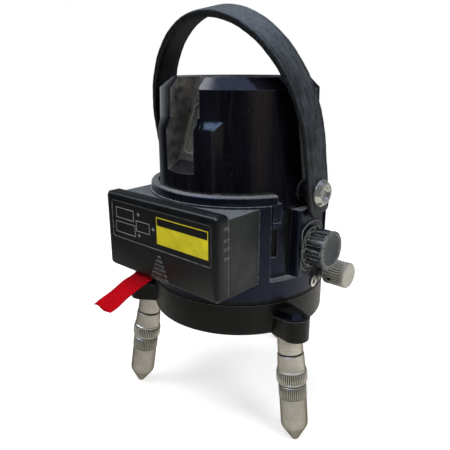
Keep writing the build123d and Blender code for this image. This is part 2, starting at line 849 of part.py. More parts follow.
with BuildPart() as upper_housing:
    with BuildSketch(Plane.XZ):
        Polygon(
            (0, band_top_z),
            (barrel_foot_r, band_top_z),
            (barrel_top_r, shoulder_z),
            (barrel_top_r - barrel_chamfer, barrel_top_z),
            (0, barrel_top_z),
            align=None,
        )
    revolve(axis=Axis.Z)
    add(boss.part)
    rivet_boss_x = strap_in_x - move_gap
    extrude(ring(across(-rivet_boss_x, 0, strap_z), rivet_boss_r), amount=2 * rivet_boss_x)
    add(hollow.part, mode=Mode.SUBTRACT)
    add(slot_solid(slot_half, 0), mode=Mode.SUBTRACT)
    edge_y = -sqrt(barrel_top_r**2 - slot_half**2)
    for side in (1, -1):
        extrude(
            outline(
                [
                    (side * slot_half, edge_y + slot_chamfer),
                    (side * (slot_half + boss_r), edge_y + slot_chamfer - boss_r),
                    (side * slot_half, edge_y + slot_chamfer - boss_r),
                ],
                level(boss_top_z),
            ),
            amount=barrel_top_z,
            mode=Mode.SUBTRACT,
        )
    extrude(
        panel(window_plane(2 * slot_wall), glass_width, glass_length, glass_corner_r),
        amount=4 * slot_wall,
        mode=Mode.SUBTRACT,
    )
    extrude(
        panel(window_plane(glass_sink), glass_seat_width, glass_seat_length, glass_corner_r),
        amount=-2 * slot_wall,
        mode=Mode.SUBTRACT,
    )
    for start in (latch_start, -180 - latch_slot_end - strip_turn):
        extrude(
            sector(
                level(latch_slot_z),
                wall_in_r,
                barrel_foot_r - latch_slot_depth,
                start,
                start + latch_slot_end - latch_start,
            ),
            amount=latch_slot_height,
            mode=Mode.SUBTRACT,
        )
    extrude(ring(across(switch_end_x, 0, knob_z), switch_r), amount=switch_seat + barrel_wall / 2)
    extrude(ring(across(0, 0, knob_z), knob_shaft_r + move_gap), amount=2 * barrel_foot_r, mode=Mode.SUBTRACT)
    extrude(
        ring(across(-rivet_boss_x, 0, strap_z), rivet_shank_r + seat_clear),
        amount=2 * rivet_boss_x,
        mode=Mode.SUBTRACT,
    )
    board_hole_x = board_width / 2 - board_margin
    standoff = sqrt(barrel_top_r**2 - (board_hole_x + standoff_r) ** 2) - board_y - board
    for x in (-board_hole_x, board_hole_x):
        for z in (board_z + board_margin, board_z + board_height - board_margin):
            extrude(ring(facing_front(board_y + board, x, z), standoff_r), amount=-standoff)
    ledge_in_y = bar_end_y - ledge
    ledge_out_y = barrel_in_r + barrel_wall / 2
    for side in (1, -1):
        ledge_y = side * (ledge_in_y + ledge_out_y) / 2
        extrude(panel(level(bar_z, 0, ledge_y), bar_width, ledge_out_y - ledge_in_y), amount=-ledge)
finish(upper_housing, "upper_housing")

with BuildPart() as window_glass:
    extrude(
        panel(
            window_plane(glass_sink),
            glass_seat_width - 2 * seat_clear,
            glass_seat_length - 2 * seat_clear,
            glass_corner_r,
        ),
        amount=-glass,
    )
finish(window_glass, "window_glass")

# Battery box, cells and cover
box_in_half = box_half - box_side
box_mid_y = (box_front_y + box_back_y) / 2
box_depth = box_back_y - box_front_y
box_curve_r = barrel_foot_r + box_gap
tongue_y = cover_in_y + move_gap

with BuildPart() as battery_box:
    with BuildSketch(level(band_top_z)):
        with Locations((box_x, box_mid_y)):
            Rectangle(2 * box_half, box_depth)
        Circle(box_curve_r, mode=Mode.SUBTRACT)
    extrude(amount=box_height)
    with BuildSketch(level(band_top_z + box_floor)):
        with Locations((box_x, box_mid_y - box_wall)):
            Rectangle(2 * box_in_half, box_depth)
        Circle(box_curve_r + box_wall, mode=Mode.SUBTRACT)
    extrude(amount=box_height - box_floor - box_wall, mode=Mode.SUBTRACT)
    extrude(
        panel(
            level(band_top_z, box_x, (tongue_y + box_front_y) / 2),
            cover_width - 2 * cover_wall - 2 * move_gap,
            box_front_y - tongue_y,
        ),
        amount=box_floor,
    )
    extrude(
        panel(level(band_top_z, ribbon_x, tongue_y), ribbon_notch, 2 * (ribbon_notch_y - tongue_y)),
        amount=box_floor,
        mode=Mode.SUBTRACT,
    )
    for side, row in cell_rows.values():
        rib_x = box_x - side * box_rib_x
        rib_z = cell_z + row * cell_pitch
        extrude(
            panel(facing_front(box_wall - box_curve_r, rib_x, rib_z), box_rib, 2 * cell_r),
            amount=box_wall - box_curve_r - cell_y,
        )
finish(battery_box, "battery_box")

for row_name, (side, row) in cell_rows.items():
    with BuildPart() as battery_cell:
        row_z = cell_z + row * cell_pitch
        tail_x = box_x + side * cell_shift - cell_length / 2
        extrude(ring(across(tail_x, cell_y, row_z), cell_r), amount=cell_length - cell_cap)
        extrude(ring(across(tail_x, cell_y, row_z), cell_cap_r), amount=cell_length)
    finish(battery_cell, f"battery_cell_{row_name}")

with BuildPart() as battery_contacts:
    for side, row in cell_rows.values():
        row_z = cell_z + row * cell_pitch
        cell_x = box_x + side * cell_shift
        tail_x = box_x - (box_in_half if side < 0 else box_rib_x - box_rib / 2)
        head_x = box_x + (box_rib_x - box_rib / 2 if side < 0 else box_in_half)
        extrude(panel(across(tail_x, cell_y, row_z), contact_width, contact_width), amount=contact)
        extrude(
            ring(across(tail_x, cell_y, row_z), spring_r, spring_r - 2 * contact),
            amount=cell_x - cell_length / 2 - tail_x,
        )
        extrude(panel(across(head_x, cell_y, row_z), contact_width, contact_width), amount=-contact)
        extrude(ring(across(head_x, cell_y, row_z), cell_cap_r), amount=cell_x + cell_length / 2 - head_x)
finish(battery_contacts, "battery_contacts")

with BuildPart() as battery_cover:
    cover_back_y = box_front_y - move_gap
    cover_mid_y = (cover_front_y + cover_back_y) / 2
    extrude(
        panel(level(cover_bottom_z, box_x, cover_mid_y), cover_width, cover_back_y - cover_front_y),
        amount=cover_height,
    )
    fillet(edges().filter_by(Axis.Y), cover_corner_r)
    chamfer(faces().sort_by(Axis.Y)[0].edges(), cover_bevel)
    extrude(
        panel(
            level(cover_bottom_z, box_x, cover_mid_y + cover_wall),
            cover_width - 2 * cover_wall,
            cover_back_y - cover_front_y,
        ),
        amount=cover_height - cover_wall,
        mode=Mode.SUBTRACT,
    )
    extrude(
        panel(facing_front(cover_front_y, *label_centre), label_width, label_height, cover_corner_r / 2),
        amount=-label_sink,
        mode=Mode.SUBTRACT,
    )
    for row in range(grip_rows):
        extrude(
            panel(
                facing_front(cover_front_y, grip_x, grip_z + row * grip_pitch),
                grip_base * (1 - row / grip_rows),
                rib_height,
            ),
            amount=rib_rise,
        )
    for side in (1, -1):
        for z in tick_z:
            extrude(
                panel(
                    across(box_x + side * cover_width / 2, cover_back_y - tick_length / 2, z),
                    tick_length,
                    rib_height,
                ),
                amount=side * rib_rise,
            )
finish(battery_cover, "battery_cover")

with BuildPart() as pull_ribbon:
    with BuildSketch(across(ribbon_x - ribbon_width / 2)):
        with BuildLine():
            back = Line((ribbon_back_y, ribbon_top_z), (ribbon_back_y, ribbon_z + ribbon_bend_r))
            bend = JernArc(back @ 1, back % 1, ribbon_bend_r, -90)
            flat = Line(bend @ 1, (ribbon_turn_y, ribbon_z))
            tail_end = (-cos(radians(ribbon_slope)), -sin(radians(ribbon_slope)))
            dip = JernArc(flat @ 1, flat % 1, ribbon_dip_r, ribbon_dip)
            drop = Line(dip @ 1, (dip @ 1) + (dip % 1) * ribbon_drop)
            level_out = JernArc(drop @ 1, drop % 1, ribbon_dip_r, ribbon_slope - ribbon_dip)
            tail = [(cover_front_y - reach, z) for reach, z in ribbon_tail]
            Spline(level_out @ 1, *tail, tangents=(level_out % 1, tail_end))
        trace(line_width=ribbon)
    extrude(amount=ribbon_width)
finish(pull_ribbon, "pull_ribbon")

# Strap and rivets
with BuildPart() as carry_strap:
    lean_sin = sin(radians(strap_lean))
    lean_cos = cos(radians(strap_lean))
    with BuildSketch(Plane(origin=(0, 0, strap_z), x_dir=(1, 0, 0), z_dir=(0, -lean_cos, -lean_sin))):
        with BuildLine():
            crown = (strap_bow, strap_straight)
            crown_rise = strap_rise - strap_crown
            for side, turn in ((1, 0), (-1, 90)):
                half = strap_half - side * strap_bow
                EllipticalCenterArc(crown, half, strap_rise, start_angle=turn, arc_size=90)
                EllipticalCenterArc(crown, half - strap, crown_rise, start_angle=turn, arc_size=90)
                Polyline(
                    (side * strap_half, strap_straight),
                    (side * strap_half, -strap_tail),
                    (side * strap_in_x, -strap_tail),
                    (side * strap_in_x, strap_straight),
                )
        make_face()
    extrude(amount=strap_width / 2, both=True)
    extrude(
        ring(across(-strap_half, 0, strap_z), rivet_shank_r + run_clear),
        amount=2 * strap_half,
        mode=Mode.SUBTRACT,
    )
finish(carry_strap, "carry_strap")

with BuildPart() as strap_rivets:
    head_x = strap_half + move_gap
    revolve(
        outline(
            [
                (barrel_in_r - 2 * rivet_tail, 0),
                (barrel_in_r - 2 * rivet_tail, rivet_shank_r + rivet_tail),
                (barrel_in_r - rivet_tail, rivet_shank_r + rivet_tail),
                (barrel_in_r - rivet_tail, rivet_shank_r),
                (head_x, rivet_shank_r),
                (head_x, rivet_r),
                (head_x + rivet_head / 3, rivet_r),
                (head_x + rivet_head, rivet_rim_r),
                (head_x + rivet_head, rivet_dish_r),
                (head_x + rivet_head / 2, rivet_floor_r),
                (head_x + rivet_head / 2, 0),
            ],
            facing_front(0, 0, strap_z),
        ),
        axis=Axis((0, 0, strap_z), (1, 0, 0)),
    )
    mirror(about=Plane.YZ)
finish(strap_rivets, "strap_rivets")

# Power and lock knob
knob_end_x = knob_x + knob_length
shaft_end_x = knob_end_x - 2 * knob_cap
lug_x = -bar_width / 2

with BuildPart() as dial_plate:
    with BuildSketch(across(pad_face_x, 0, knob_z)):
        Circle(dial_r)
        Rectangle(2 * (pad_half - pad_edge_r), 2 * dial_r, mode=Mode.INTERSECT)
        Circle(knob_shaft_r + move_gap, mode=Mode.SUBTRACT)
    extrude(amount=dial)
finish(dial_plate, "dial_plate")

with BuildPart() as power_knob:
    extrude(ring(across(knob_x, 0, knob_z), knob_flange_r), amount=knob_flange)
    with BuildSketch(across(knob_x + knob_flange, 0, knob_z)):
        Circle(knob_r)
        with PolarLocations(knob_r + knob_flute_r / 3, knob_flutes):
            Circle(knob_flute_r, mode=Mode.SUBTRACT)
    extrude(amount=knob_length - knob_flange)
    extrude(ring(across(knob_end_x - knob_cap, 0, knob_z), knob_cap_r), amount=knob_cap, mode=Mode.SUBTRACT)
    extrude(
        ring(across(knob_x, 0, knob_z), knob_shaft_r + seat_clear),
        amount=shaft_end_x - knob_x,
        mode=Mode.SUBTRACT,
    )
finish(power_knob, "power_knob")

with BuildPart() as knob_cap_disc:
    extrude(ring(across(knob_end_x - knob_cap, 0, knob_z), knob_cap_r - seat_clear), amount=knob_cap)
finish(knob_cap_disc, "knob_cap")

with BuildPart() as knob_shaft:
    extrude(ring(across(lug_x, 0, knob_z), knob_shaft_r), amount=shaft_end_x - lug_x)
    extrude(ring(across(-cam_width / 2, 0, knob_z - cam_throw), cam_r), amount=cam_width)
finish(knob_shaft, "knob_shaft")

with BuildPart() as rotary_switch:
    extrude(
        ring(across(switch_end_x, 0, knob_z), switch_r, knob_shaft_r + run_clear),
        amount=-switch_depth,
    )
finish(rotary_switch, "rotary_switch")

with BuildPart() as lock_pad:
    extrude(ring(level(lock_z), lock_r), amount=lock_length)
finish(lock_pad, "lock_pad")

with BuildPart() as damper_bar:
    extrude(panel(level(bar_z), bar_width, 2 * bar_end_y), amount=bar)
    extrude(ring(level(bar_z), lock_r + run_clear), amount=bar, mode=Mode.SUBTRACT)
    lug_foot_z = knob_z - bar_lug_width / 2
    extrude(panel(level(bar_z, lug_x + bar_lug / 2), bar_lug, bar_lug_width), amount=lug_foot_z - bar_z)
    extrude(ring(across(lug_x, 0, knob_z), knob_shaft_r + run_clear), amount=bar_lug, mode=Mode.SUBTRACT)
finish(damper_bar, "damper_bar")

with BuildPart() as damper_magnets:
    for side in (1, -1):
        extrude(ring(level(bar_z + bar, 0, side * magnet_spread), magnet_r), amount=magnet)
finish(damper_magnets, "damper_magnets")

# Pendulum and gimbal
with BuildPart() as gimbal_bracket:
    extrude(panel(level(roof_z), 2 * (cheek_x + cheek), bracket_depth), amount=-cheek)
    for side in (1, -1):
        extrude(
            panel(level(roof_z, side * (cheek_x + cheek / 2)), cheek, cheek_width),
            amount=gimbal_z - cheek_width / 2 - roof_z,
        )
    extrude(
        ring(across(-2 * cheek_x, 0, gimbal_z), bearing_r + seat_clear),
        amount=4 * cheek_x,
        mode=Mode.SUBTRACT,
    )
finish(gimbal_bracket, "gimbal_bracket")

with BuildPart() as bracket_bearings:
    for side in (1, -1):
        extrude(
            ring(across(side * cheek_x, 0, gimbal_z), bearing_r, gimbal_pin_r + run_clear),
            amount=side * cheek,
        )
finish(bracket_bearings, "bracket_bearings")

with BuildPart() as gimbal_ring:
    extrude(ring(level(gimbal_z - gimbal_ring_height / 2), gimbal_r), amount=gimbal_ring_height)
    extrude(ring(across(-cheek_x - cheek, 0, gimbal_z), gimbal_pin_r), amount=2 * (cheek_x + cheek))
    extrude(
        ring(level(gimbal_z - gimbal_ring_height / 2), gimbal_in_r),
        amount=gimbal_ring_height,
        mode=Mode.SUBTRACT,
    )
    extrude(
        ring(facing_front(-gimbal_r, 0, gimbal_z), bearing_r + seat_clear),
        amount=-2 * gimbal_r,
        mode=Mode.SUBTRACT,
    )
finish(gimbal_ring, "gimbal_ring")

with BuildPart() as ring_bearings:
    for side in (1, -1):
        extrude(
            ring(facing_front(side * gimbal_in_r, 0, gimbal_z), bearing_r, gimbal_pin_r + run_clear),
            amount=-side * gimbal_ring_width,
        )
finish(ring_bearings, "ring_bearings")

with BuildPart() as pendulum_frame:
    extrude(panel(level(gimbal_z - pivot_width / 2), pivot_width, pivot_width), amount=pivot_width)
    extrude(ring(facing_front(-gimbal_r, 0, gimbal_z), gimbal_pin_r), amount=-2 * gimbal_r)
    clamp_top_z = gimbal_z - pivot_width / 2
    clamp_height = 2 * (clamp_top_z - laser_z)
    extrude(
        panel(level(clamp_top_z, 0, clamp_back / 2), clamp_width, stem_width + clamp_back),
        amount=-clamp_height,
    )
    extrude(panel(level(damper_z + damper), stem_width, stem_width), amount=clamp_top_z - damper_z - damper)
    extrude(
        ring(facing_front(lens_back_y, 0, laser_z), laser_r + seat_clear),
        amount=-laser_length,
        mode=Mode.SUBTRACT,
    )
finish(pendulum_frame, "pendulum_frame")

with BuildPart() as laser_module:
    extrude(ring(facing_front(lens_back_y, 0, laser_z), laser_r), amount=-laser_length)
    extrude(ring(facing_front(lens_back_y, 0, laser_z), beam_r), amount=-laser_r, mode=Mode.SUBTRACT)
finish(laser_module, "laser_module")

with BuildPart() as lens_mount:
    extrude(
        panel(facing_front(lens_back_y, 0, lens_mount_z), lens_mount_width, lens_mount_height, lens_r),
        amount=lens_mount_depth,
    )
    extrude(ring(facing_front(lens_back_y, 0, laser_z), beam_r), amount=lens_mount_depth, mode=Mode.SUBTRACT)
    extrude(
        ring(across(-lens_length / 2, lens_y, laser_z), lens_r + seat_clear),
        amount=lens_length,
        mode=Mode.SUBTRACT,
    )
finish(lens_mount, "lens_mount")

with BuildPart() as line_lens:
    extrude(ring(across(-lens_length / 2, lens_y, laser_z), lens_r), amount=lens_length)
finish(line_lens, "line_lens")

with BuildPart() as damper_disc:
    extrude(ring(level(damper_z), damper_r), amount=damper)
finish(damper_disc, "damper_disc")

# Fine turning drive
with BuildPart() as fine_bushing:
    extrude(
        ring(across(band_in_r * cos(pi / 6), worm_y, worm_z), fine_bush_r, fine_shaft_r + run_clear),
        amount=fine_bush_end_x - band_in_r * cos(pi / 6),
    )
    extrude(
        ring(across(fine_bush_end_x, worm_y, worm_z), fine_bush_flange_r, fine_shaft_r + run_clear),
        amount=-fine_bush_flange,
    )
finish(fine_bushing, "fine_bushing")

with BuildPart() as fine_knob:
    extrude(
        notched_disc(
            across(fine_knob_x, worm_y, worm_z),
            fine_knob_r,
            fine_knob_notches,
            fine_knob_depth,
            2 * fine_knob_depth,
        ),
        amount=fine_knob_length,
    )
    with BuildSketch(facing_front(worm_y, 0, worm_z)):
        Polygon(
            (fine_knob_x, 0),
            (fine_knob_x, fine_knob_r - fine_knob_bevel),
            (fine_knob_x + fine_knob_bevel, fine_knob_r),
            (fine_knob_x + fine_knob_length - fine_knob_bevel, fine_knob_r),
            (fine_knob_x + fine_knob_length, fine_knob_r - fine_knob_bevel),
            (fine_knob_x + fine_knob_length, 0),
            align=None,
        )
    revolve(axis=Axis((0, worm_y, worm_z), (1, 0, 0)), mode=Mode.INTERSECT)
    extrude(
        ring(across(fine_knob_x, worm_y, worm_z), fine_shaft_r + seat_clear),
        amount=fine_knob_length - 2 * fine_shaft_r,
        mode=Mode.SUBTRACT,
    )
    set_screw_out = (0, cos(radians(set_screw_angle)), sin(radians(set_screw_angle)))
    set_screw_plane = Plane(origin=(set_screw_x, worm_y, worm_z), x_dir=(1, 0, 0), z_dir=set_screw_out)
    extrude(ring(set_screw_plane, set_screw_r + seat_clear), amount=fine_knob_r, mode=Mode.SUBTRACT)
finish(fine_knob, "fine_knob")

with BuildPart() as fine_set_screw:
    extrude(
        ring(set_screw_plane.offset(fine_shaft_r + seat_clear), set_screw_r),
        amount=fine_knob_r - fine_shaft_r - 2 * set_screw_r,
    )
    with BuildSketch(set_screw_plane.offset(fine_knob_r - 2 * set_screw_r)):
        RegularPolygon(set_screw_r * 0.55, 6)
    extrude(amount=set_screw_r * 2, both=True, mode=Mode.SUBTRACT)
finish(fine_set_screw, "fine_set_screw")

with BuildPart() as worm_shaft:
    shaft_foot_x = worm_block_x - worm_block / 2
    extrude(
        ring(across(shaft_foot_x, worm_y, worm_z), fine_shaft_r),
        amount=fine_knob_x + fine_knob_length - 2 * fine_shaft_r - shaft_foot_x,
    )
    worm_core = 2 * worm_half + worm_lead
    extrude(ring(across(-worm_core / 2, worm_y, worm_z), worm_root_r), amount=worm_core)
    with BuildLine():
        thread = Helix(
            worm_lead,
            2 * worm_half,
            worm_root_r,
            center=(worm_lead * worm_phase - worm_half, worm_y, worm_z),
            direction=(1, 0, 0),
        )
    thread_rise = worm_tip_r - worm_root_r
    with BuildSketch(Plane(origin=thread @ 0, x_dir=(1, 0, 0), z_dir=thread % 0)):
        Polygon(
            (-worm_root_width / 2, -run_clear),
            (worm_root_width / 2, -run_clear),
            (worm_crest / 2, thread_rise),
            (-worm_crest / 2, thread_rise),
            align=None,
        )
    sweep(path=thread, is_frenet=True)
finish(worm_shaft, "worm_shaft")

# Socket and circuit board
with BuildPart() as side_socket:
    extrude(ring(socket_plane(housing_r + socket_rim), socket_r, socket_bore_r), amount=-socket_rim)
    extrude(ring(socket_plane(housing_r), socket_body_r, socket_bore_r), amount=-socket_depth)
finish(side_socket, "side_socket")

with BuildPart() as circuit_board:
    extrude(
        panel(facing_front(board_y + board, 0, board_z + board_height / 2), board_width, board_height),
        amount=board,
    )
finish(circuit_board, "circuit_board")
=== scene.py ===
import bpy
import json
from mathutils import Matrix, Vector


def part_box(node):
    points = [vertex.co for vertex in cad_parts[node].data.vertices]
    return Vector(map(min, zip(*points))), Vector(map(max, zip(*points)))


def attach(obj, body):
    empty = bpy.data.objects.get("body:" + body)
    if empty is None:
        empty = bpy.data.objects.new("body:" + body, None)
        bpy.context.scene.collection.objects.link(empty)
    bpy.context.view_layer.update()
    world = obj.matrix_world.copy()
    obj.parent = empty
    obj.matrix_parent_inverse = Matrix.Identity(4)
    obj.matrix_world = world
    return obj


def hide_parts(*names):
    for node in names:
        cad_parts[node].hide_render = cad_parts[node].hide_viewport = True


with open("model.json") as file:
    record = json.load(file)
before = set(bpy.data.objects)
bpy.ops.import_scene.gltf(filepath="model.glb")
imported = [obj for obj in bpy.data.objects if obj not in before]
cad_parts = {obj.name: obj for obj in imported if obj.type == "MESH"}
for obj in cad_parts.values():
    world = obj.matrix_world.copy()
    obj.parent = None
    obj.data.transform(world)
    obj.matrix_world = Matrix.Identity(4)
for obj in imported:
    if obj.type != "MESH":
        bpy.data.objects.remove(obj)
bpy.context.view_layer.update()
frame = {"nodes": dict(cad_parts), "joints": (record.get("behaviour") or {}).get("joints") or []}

import json
from math import cos, pi, radians, sin

import bmesh
import bpy
from bpy.props import FloatProperty, FloatVectorProperty, IntProperty, PointerProperty
from mathutils import Matrix, Vector

bl_info = {
    "name": "Line laser level",
    "version": (1, 0, 0),
    "blender": (4, 5, 0),
    "location": "View3D > Sidebar > Line level",
    "description": "Dresses the packed line laser level with finished pieces and materials",
    "category": "Object",
}

MM = 0.001
SIDES = ("right", "left", "rear")
COLOUR = {"subtype": "COLOR", "size": 4, "min": 0, "max": 1}


def linear(code):
    """A #rrggbb colour as linear red, green, blue and alpha."""
    parts = [int(code[i:i + 2], 16) / 255 for i in (1, 3, 5)]
    return [c / 12.92 if c <= 0.04045 else ((c + 0.055) / 1.055) ** 2.4 for c in parts] + [1.0]


def darker(colour, share):
    """A linear colour brought down to a share of its light."""
    return [part * share for part in colour[:3]] + [1.0]


def per_mm(size):
    """Texture scale at which one unit of a pattern is that many millimetres."""
    return 1 / (size * MM)


class LineLevelSettings(bpy.types.PropertyGroup):
    """Sizes and colours of the finished pieces."""

    housing_colour: FloatVectorProperty(
        name="Housing", description="Polished plastic of the barrel", default=linear("#020208"), **COLOUR)
    box_colour: FloatVectorProperty(
        name="Battery box", description="Grained plastic of the battery box",
        default=linear("#161919"), **COLOUR)
    base_colour: FloatVectorProperty(
        name="Base", description="Paint of the base casting", default=linear("#060605"), **COLOUR)
    leg_colour: FloatVectorProperty(
        name="Legs", description="Nickel plate of the legs", default=linear("#dad6ca"), **COLOUR)
    ribbon_colour: FloatVectorProperty(
        name="Ribbon", description="Dyed polyester of the pull ribbon", default=linear("#d2061a"), **COLOUR)
    strap_colour: FloatVectorProperty(
        name="Strap", description="Dyed grain side of the leather strap",
        default=linear("#0e1012"), **COLOUR)
    label_colour: FloatVectorProperty(
        name="Sticker", description="Printed ground of the plain sticker",
        default=linear("#cfc008"), **COLOUR)
    edge_width: FloatProperty(
        name="Edge width", description="Rounding of the moulded edges", unit="LENGTH",
        default=0.35 * MM, min=0, max=2 * MM)
    leg_ridges: IntProperty(
        name="Leg ridges", description="Ridges around a leg's knurled bands", default=44, min=12, max=90)
    fine_ridges: IntProperty(
        name="Fine knob ridges", description="Ridges around the fine turning knob",
        default=30, min=20, max=120)
    knob_ribs: IntProperty(
        name="Knob ribs", description="Grip ribs around the power knob", default=12, min=6, max=30)
    strap_width: FloatProperty(
        name="Strap width", description="Width of the carry strap", unit="LENGTH", default=20.8 * MM)
    ribbon_width: FloatProperty(
        name="Ribbon width", description="Width of the pull ribbon", unit="LENGTH", default=16.6 * MM)
    lamp_power: FloatProperty(
        name="Lamp power", description="Power of the soft lamp overhead", subtype="POWER",
        default=11.5, min=0)


def add(tree, kind, values=None, **settings):
    """Adds a node with its settings; a value that is a socket is linked, any other is set."""
    node = tree.nodes.new(kind)
    for name, value in settings.items():
        setattr(node, name, value)
    for key, value in (values or {}).items():
        if isinstance(value, bpy.types.NodeSocket):
            tree.links.new(value, node.inputs[key])
        else:
            node.inputs[key].default_value = value
    return node


def new_finish(name):
    """An empty material, its node tree and its object coordinates."""
    material = bpy.data.materials.new(name)
    material.use_nodes = True
    tree = material.node_tree
    tree.nodes.clear()
    return material, tree, add(tree, "ShaderNodeTexCoord").outputs["Object"]


def surface(tree, values):
    """Ends a material's tree in one shader with these constants and patterns."""
    shader = add(tree, "ShaderNodeBsdfPrincipled", values)
    add(tree, "ShaderNodeOutputMaterial", {"Surface": shader.outputs["BSDF"]})


def layered(tree, ground, *coats):
    """A ground colour under coats, each of which is a mask and the colour that it lays on."""
    for mask, colour in coats:
        ground = add(tree, "ShaderNodeMix", {
            "Factor": mask, "A": ground, "B": colour}, data_type="RGBA").outputs["Result"]
    return ground


def patches(tree, coords, size, low, high, detail=5.0):
    """Cloudy mask from 0 to 1, in patches about that many millimetres wide."""
    cloud = add(tree, "ShaderNodeTexNoise", {
        "Vector": coords, "Scale": per_mm(size), "Detail": detail, "Roughness": 0.6})
    return add(tree, "ShaderNodeMapRange", {
        "Value": cloud.outputs["Fac"], "From Min": low, "From Max": high}).outputs["Result"]


def upward(tree):
    """How far a face looks up, from -1 to 1."""
    facing = add(tree, "ShaderNodeNewGeometry").outputs["Normal"]
    return add(tree, "ShaderNodeSeparateXYZ", {"Vector": facing}).outputs["Z"]


def edge_mask(tree, coords, amount, broken):
    """Mask along the edges of a piece, about 0.9 mm wide and more broken up by a higher share."""
    rounded = add(tree, "ShaderNodeBevel", {"Radius": 0.9 * MM}, samples=6).outputs["Normal"]
    flat = add(tree, "ShaderNodeNewGeometry").outputs["Normal"]
    bend = add(tree, "ShaderNodeVectorMath", {0: rounded, 1: flat}, operation="DOT_PRODUCT").outputs["Value"]
    edge = add(tree, "ShaderNodeMapRange", {
        "Value": bend, "From Min": 0.995, "From Max": 0.86, "To Max": amount}).outputs["Result"]
    rub = patches(tree, coords, 3.0, broken, broken + 0.3)
    return add(tree, "ShaderNodeMath", {0: edge, 1: rub}, operation="MULTIPLY").outputs[0]


def dust_and_sheen_mask(tree, coords, amount, spread):
    """Mask of the dust that settles on faces that look up more than a share of the way, and on the strap of
    a painted sheen.
    """
    settled = add(tree, "ShaderNodeMapRange", {
        "Value": upward(tree), "From Min": spread, "From Max": 1.0, "To Max": amount},
        interpolation_type="SMOOTHSTEP").outputs["Result"]
    drift = patches(tree, coords, 2.2, 0.05, 0.95, detail=6.0)
    return add(tree, "ShaderNodeMath", {0: settled, 1: drift}, operation="MULTIPLY").outputs[0]


def corner_mask(tree, coords, amount, reach, least):
    """Mask of the dust in corners that many millimetres wide, on faces that look up at least so far."""
    space = add(tree, "ShaderNodeAmbientOcclusion", {"Distance": reach * MM}, samples=8).outputs["AO"]
    close = add(tree, "ShaderNodeMapRange", {
        "Value": space, "From Min": 0.85, "From Max": 0.5, "To Max": amount}).outputs["Result"]
    held = add(tree, "ShaderNodeMapRange", {
        "Value": upward(tree), "From Min": least, "From Max": least + 0.4}).outputs["Result"]
    caught = add(tree, "ShaderNodeMath", {0: close, 1: held}, operation="MULTIPLY").outputs[0]
    grit = patches(tree, coords, 2.5, 0.26, 0.54)
    return add(tree, "ShaderNodeMath", {0: caught, 1: grit}, operation="MULTIPLY").outputs[0]


def speck_mask(tree, coords, amount):
    """Mask of single grains of dust about a millimetre wide, thicker in some places than in others."""
    grains = patches(tree, coords, 1.2, 0.54, 0.68, detail=3.0)
    thick = patches(tree, coords, 16.0, 0.4, 0.7)
    dense = add(tree, "ShaderNodeMath", {0: thick, 1: amount}, operation="MULTIPLY").outputs[0]
    return add(tree, "ShaderNodeMath", {0: grains, 1: dense}, operation="MULTIPLY").outputs[0]


def ground_colour(colour):
    """A linear colour from a #rrggbb code or from the name of a setting."""
    if colour.startswith("#"):
        return linear(colour)
    return list(getattr(bpy.context.scene.line_level, colour))


def moulded(name, colour, worn, dust, rough, grain, relief, wear, settle, spread=0.75, wipe=1.0, corner=0.0,
            reach=3.0, least=0.0, tint="#ffffff", specks=0.0, film=0.0, broken=0.25, foot=None):
    """Moulded plastic, rubber, vinyl or paint: grain from the tool, rubbed edges, wiping marks and dust.

    colour, worn and dust are the colours of the ground, its rubbed edges and its dust, and tint that of its
    gloss. rough is the least and the greatest roughness, grain the grain's size in millimetres and relief
    its depth. wear, settle, corner, specks and film are the amounts of rubbing and of dust on top, in
    corners, in grains and as a film; on the knob and the dial plate, worn and wear also lay a painted
    highlight along edges and crests. spread and least are how far up a face looks before dust lies on it,
    reach is how wide a corner is in millimetres, wipe how far wiping marks are drawn out, and broken how
    much of an edge is left unrubbed. foot is a node and the colour of its lower half.
    """
    material, tree, coords = new_finish(name)
    colour = ground_colour(colour)
    lighter = [min(1.0, 1.7 * part + 0.002) for part in colour[:3]] + [1.0]
    coats = [(patches(tree, coords, 22.0, 0.3, 0.7), lighter),
             (edge_mask(tree, coords, wear, broken), linear(worn))]
    drawn = add(tree, "ShaderNodeMapping", {"Vector": coords, "Scale": (1.0, 1.0, wipe)}).outputs["Vector"]
    smear = patches(tree, drawn, 5.0, 0.3, 0.7)
    if film:
        haze = add(tree, "ShaderNodeMath", {0: smear, 1: film}, operation="MULTIPLY").outputs[0]
        coats.append((haze, linear(dust)))
    lying = dust_and_sheen_mask(tree, coords, settle, spread)
    gathered = [corner_mask(tree, coords, corner, reach, least)] if corner else []
    gathered += [speck_mask(tree, coords, specks)] if specks else []
    for mask in gathered:
        lying = add(tree, "ShaderNodeMath", {0: lying, 1: mask}, operation="MAXIMUM").outputs[0]
    coats.append((lying, linear(dust)))
    if foot:
        node, below = foot
        low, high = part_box(node)
        height = add(tree, "ShaderNodeSeparateXYZ", {"Vector": coords}).outputs["Z"]
        lower = add(tree, "ShaderNodeMath", {0: height, 1: (low.z + high.z) / 2}, operation="LESS_THAN")
        coats.append((lower.outputs[0], linear(below)))
    gloss = add(tree, "ShaderNodeMapRange", {"Value": smear, "To Min": rough[0], "To Max": rough[1]})
    dulled = add(tree, "ShaderNodeMath", {
        0: lying, 1: 0.35, 2: gloss.outputs["Result"]}, operation="MULTIPLY_ADD")
    skin = add(tree, "ShaderNodeTexNoise", {"Vector": coords, "Scale": per_mm(grain), "Detail": 2.0})
    bump = add(tree, "ShaderNodeBump", {
        "Height": skin.outputs["Fac"], "Strength": relief, "Distance": 0.2 * MM})
    surface(tree, {
        "IOR": 1.5, "Specular Tint": linear(tint), "Base Color": layered(tree, colour, *coats),
        "Roughness": dulled.outputs[0], "Normal": bump.outputs["Normal"]})
    return material


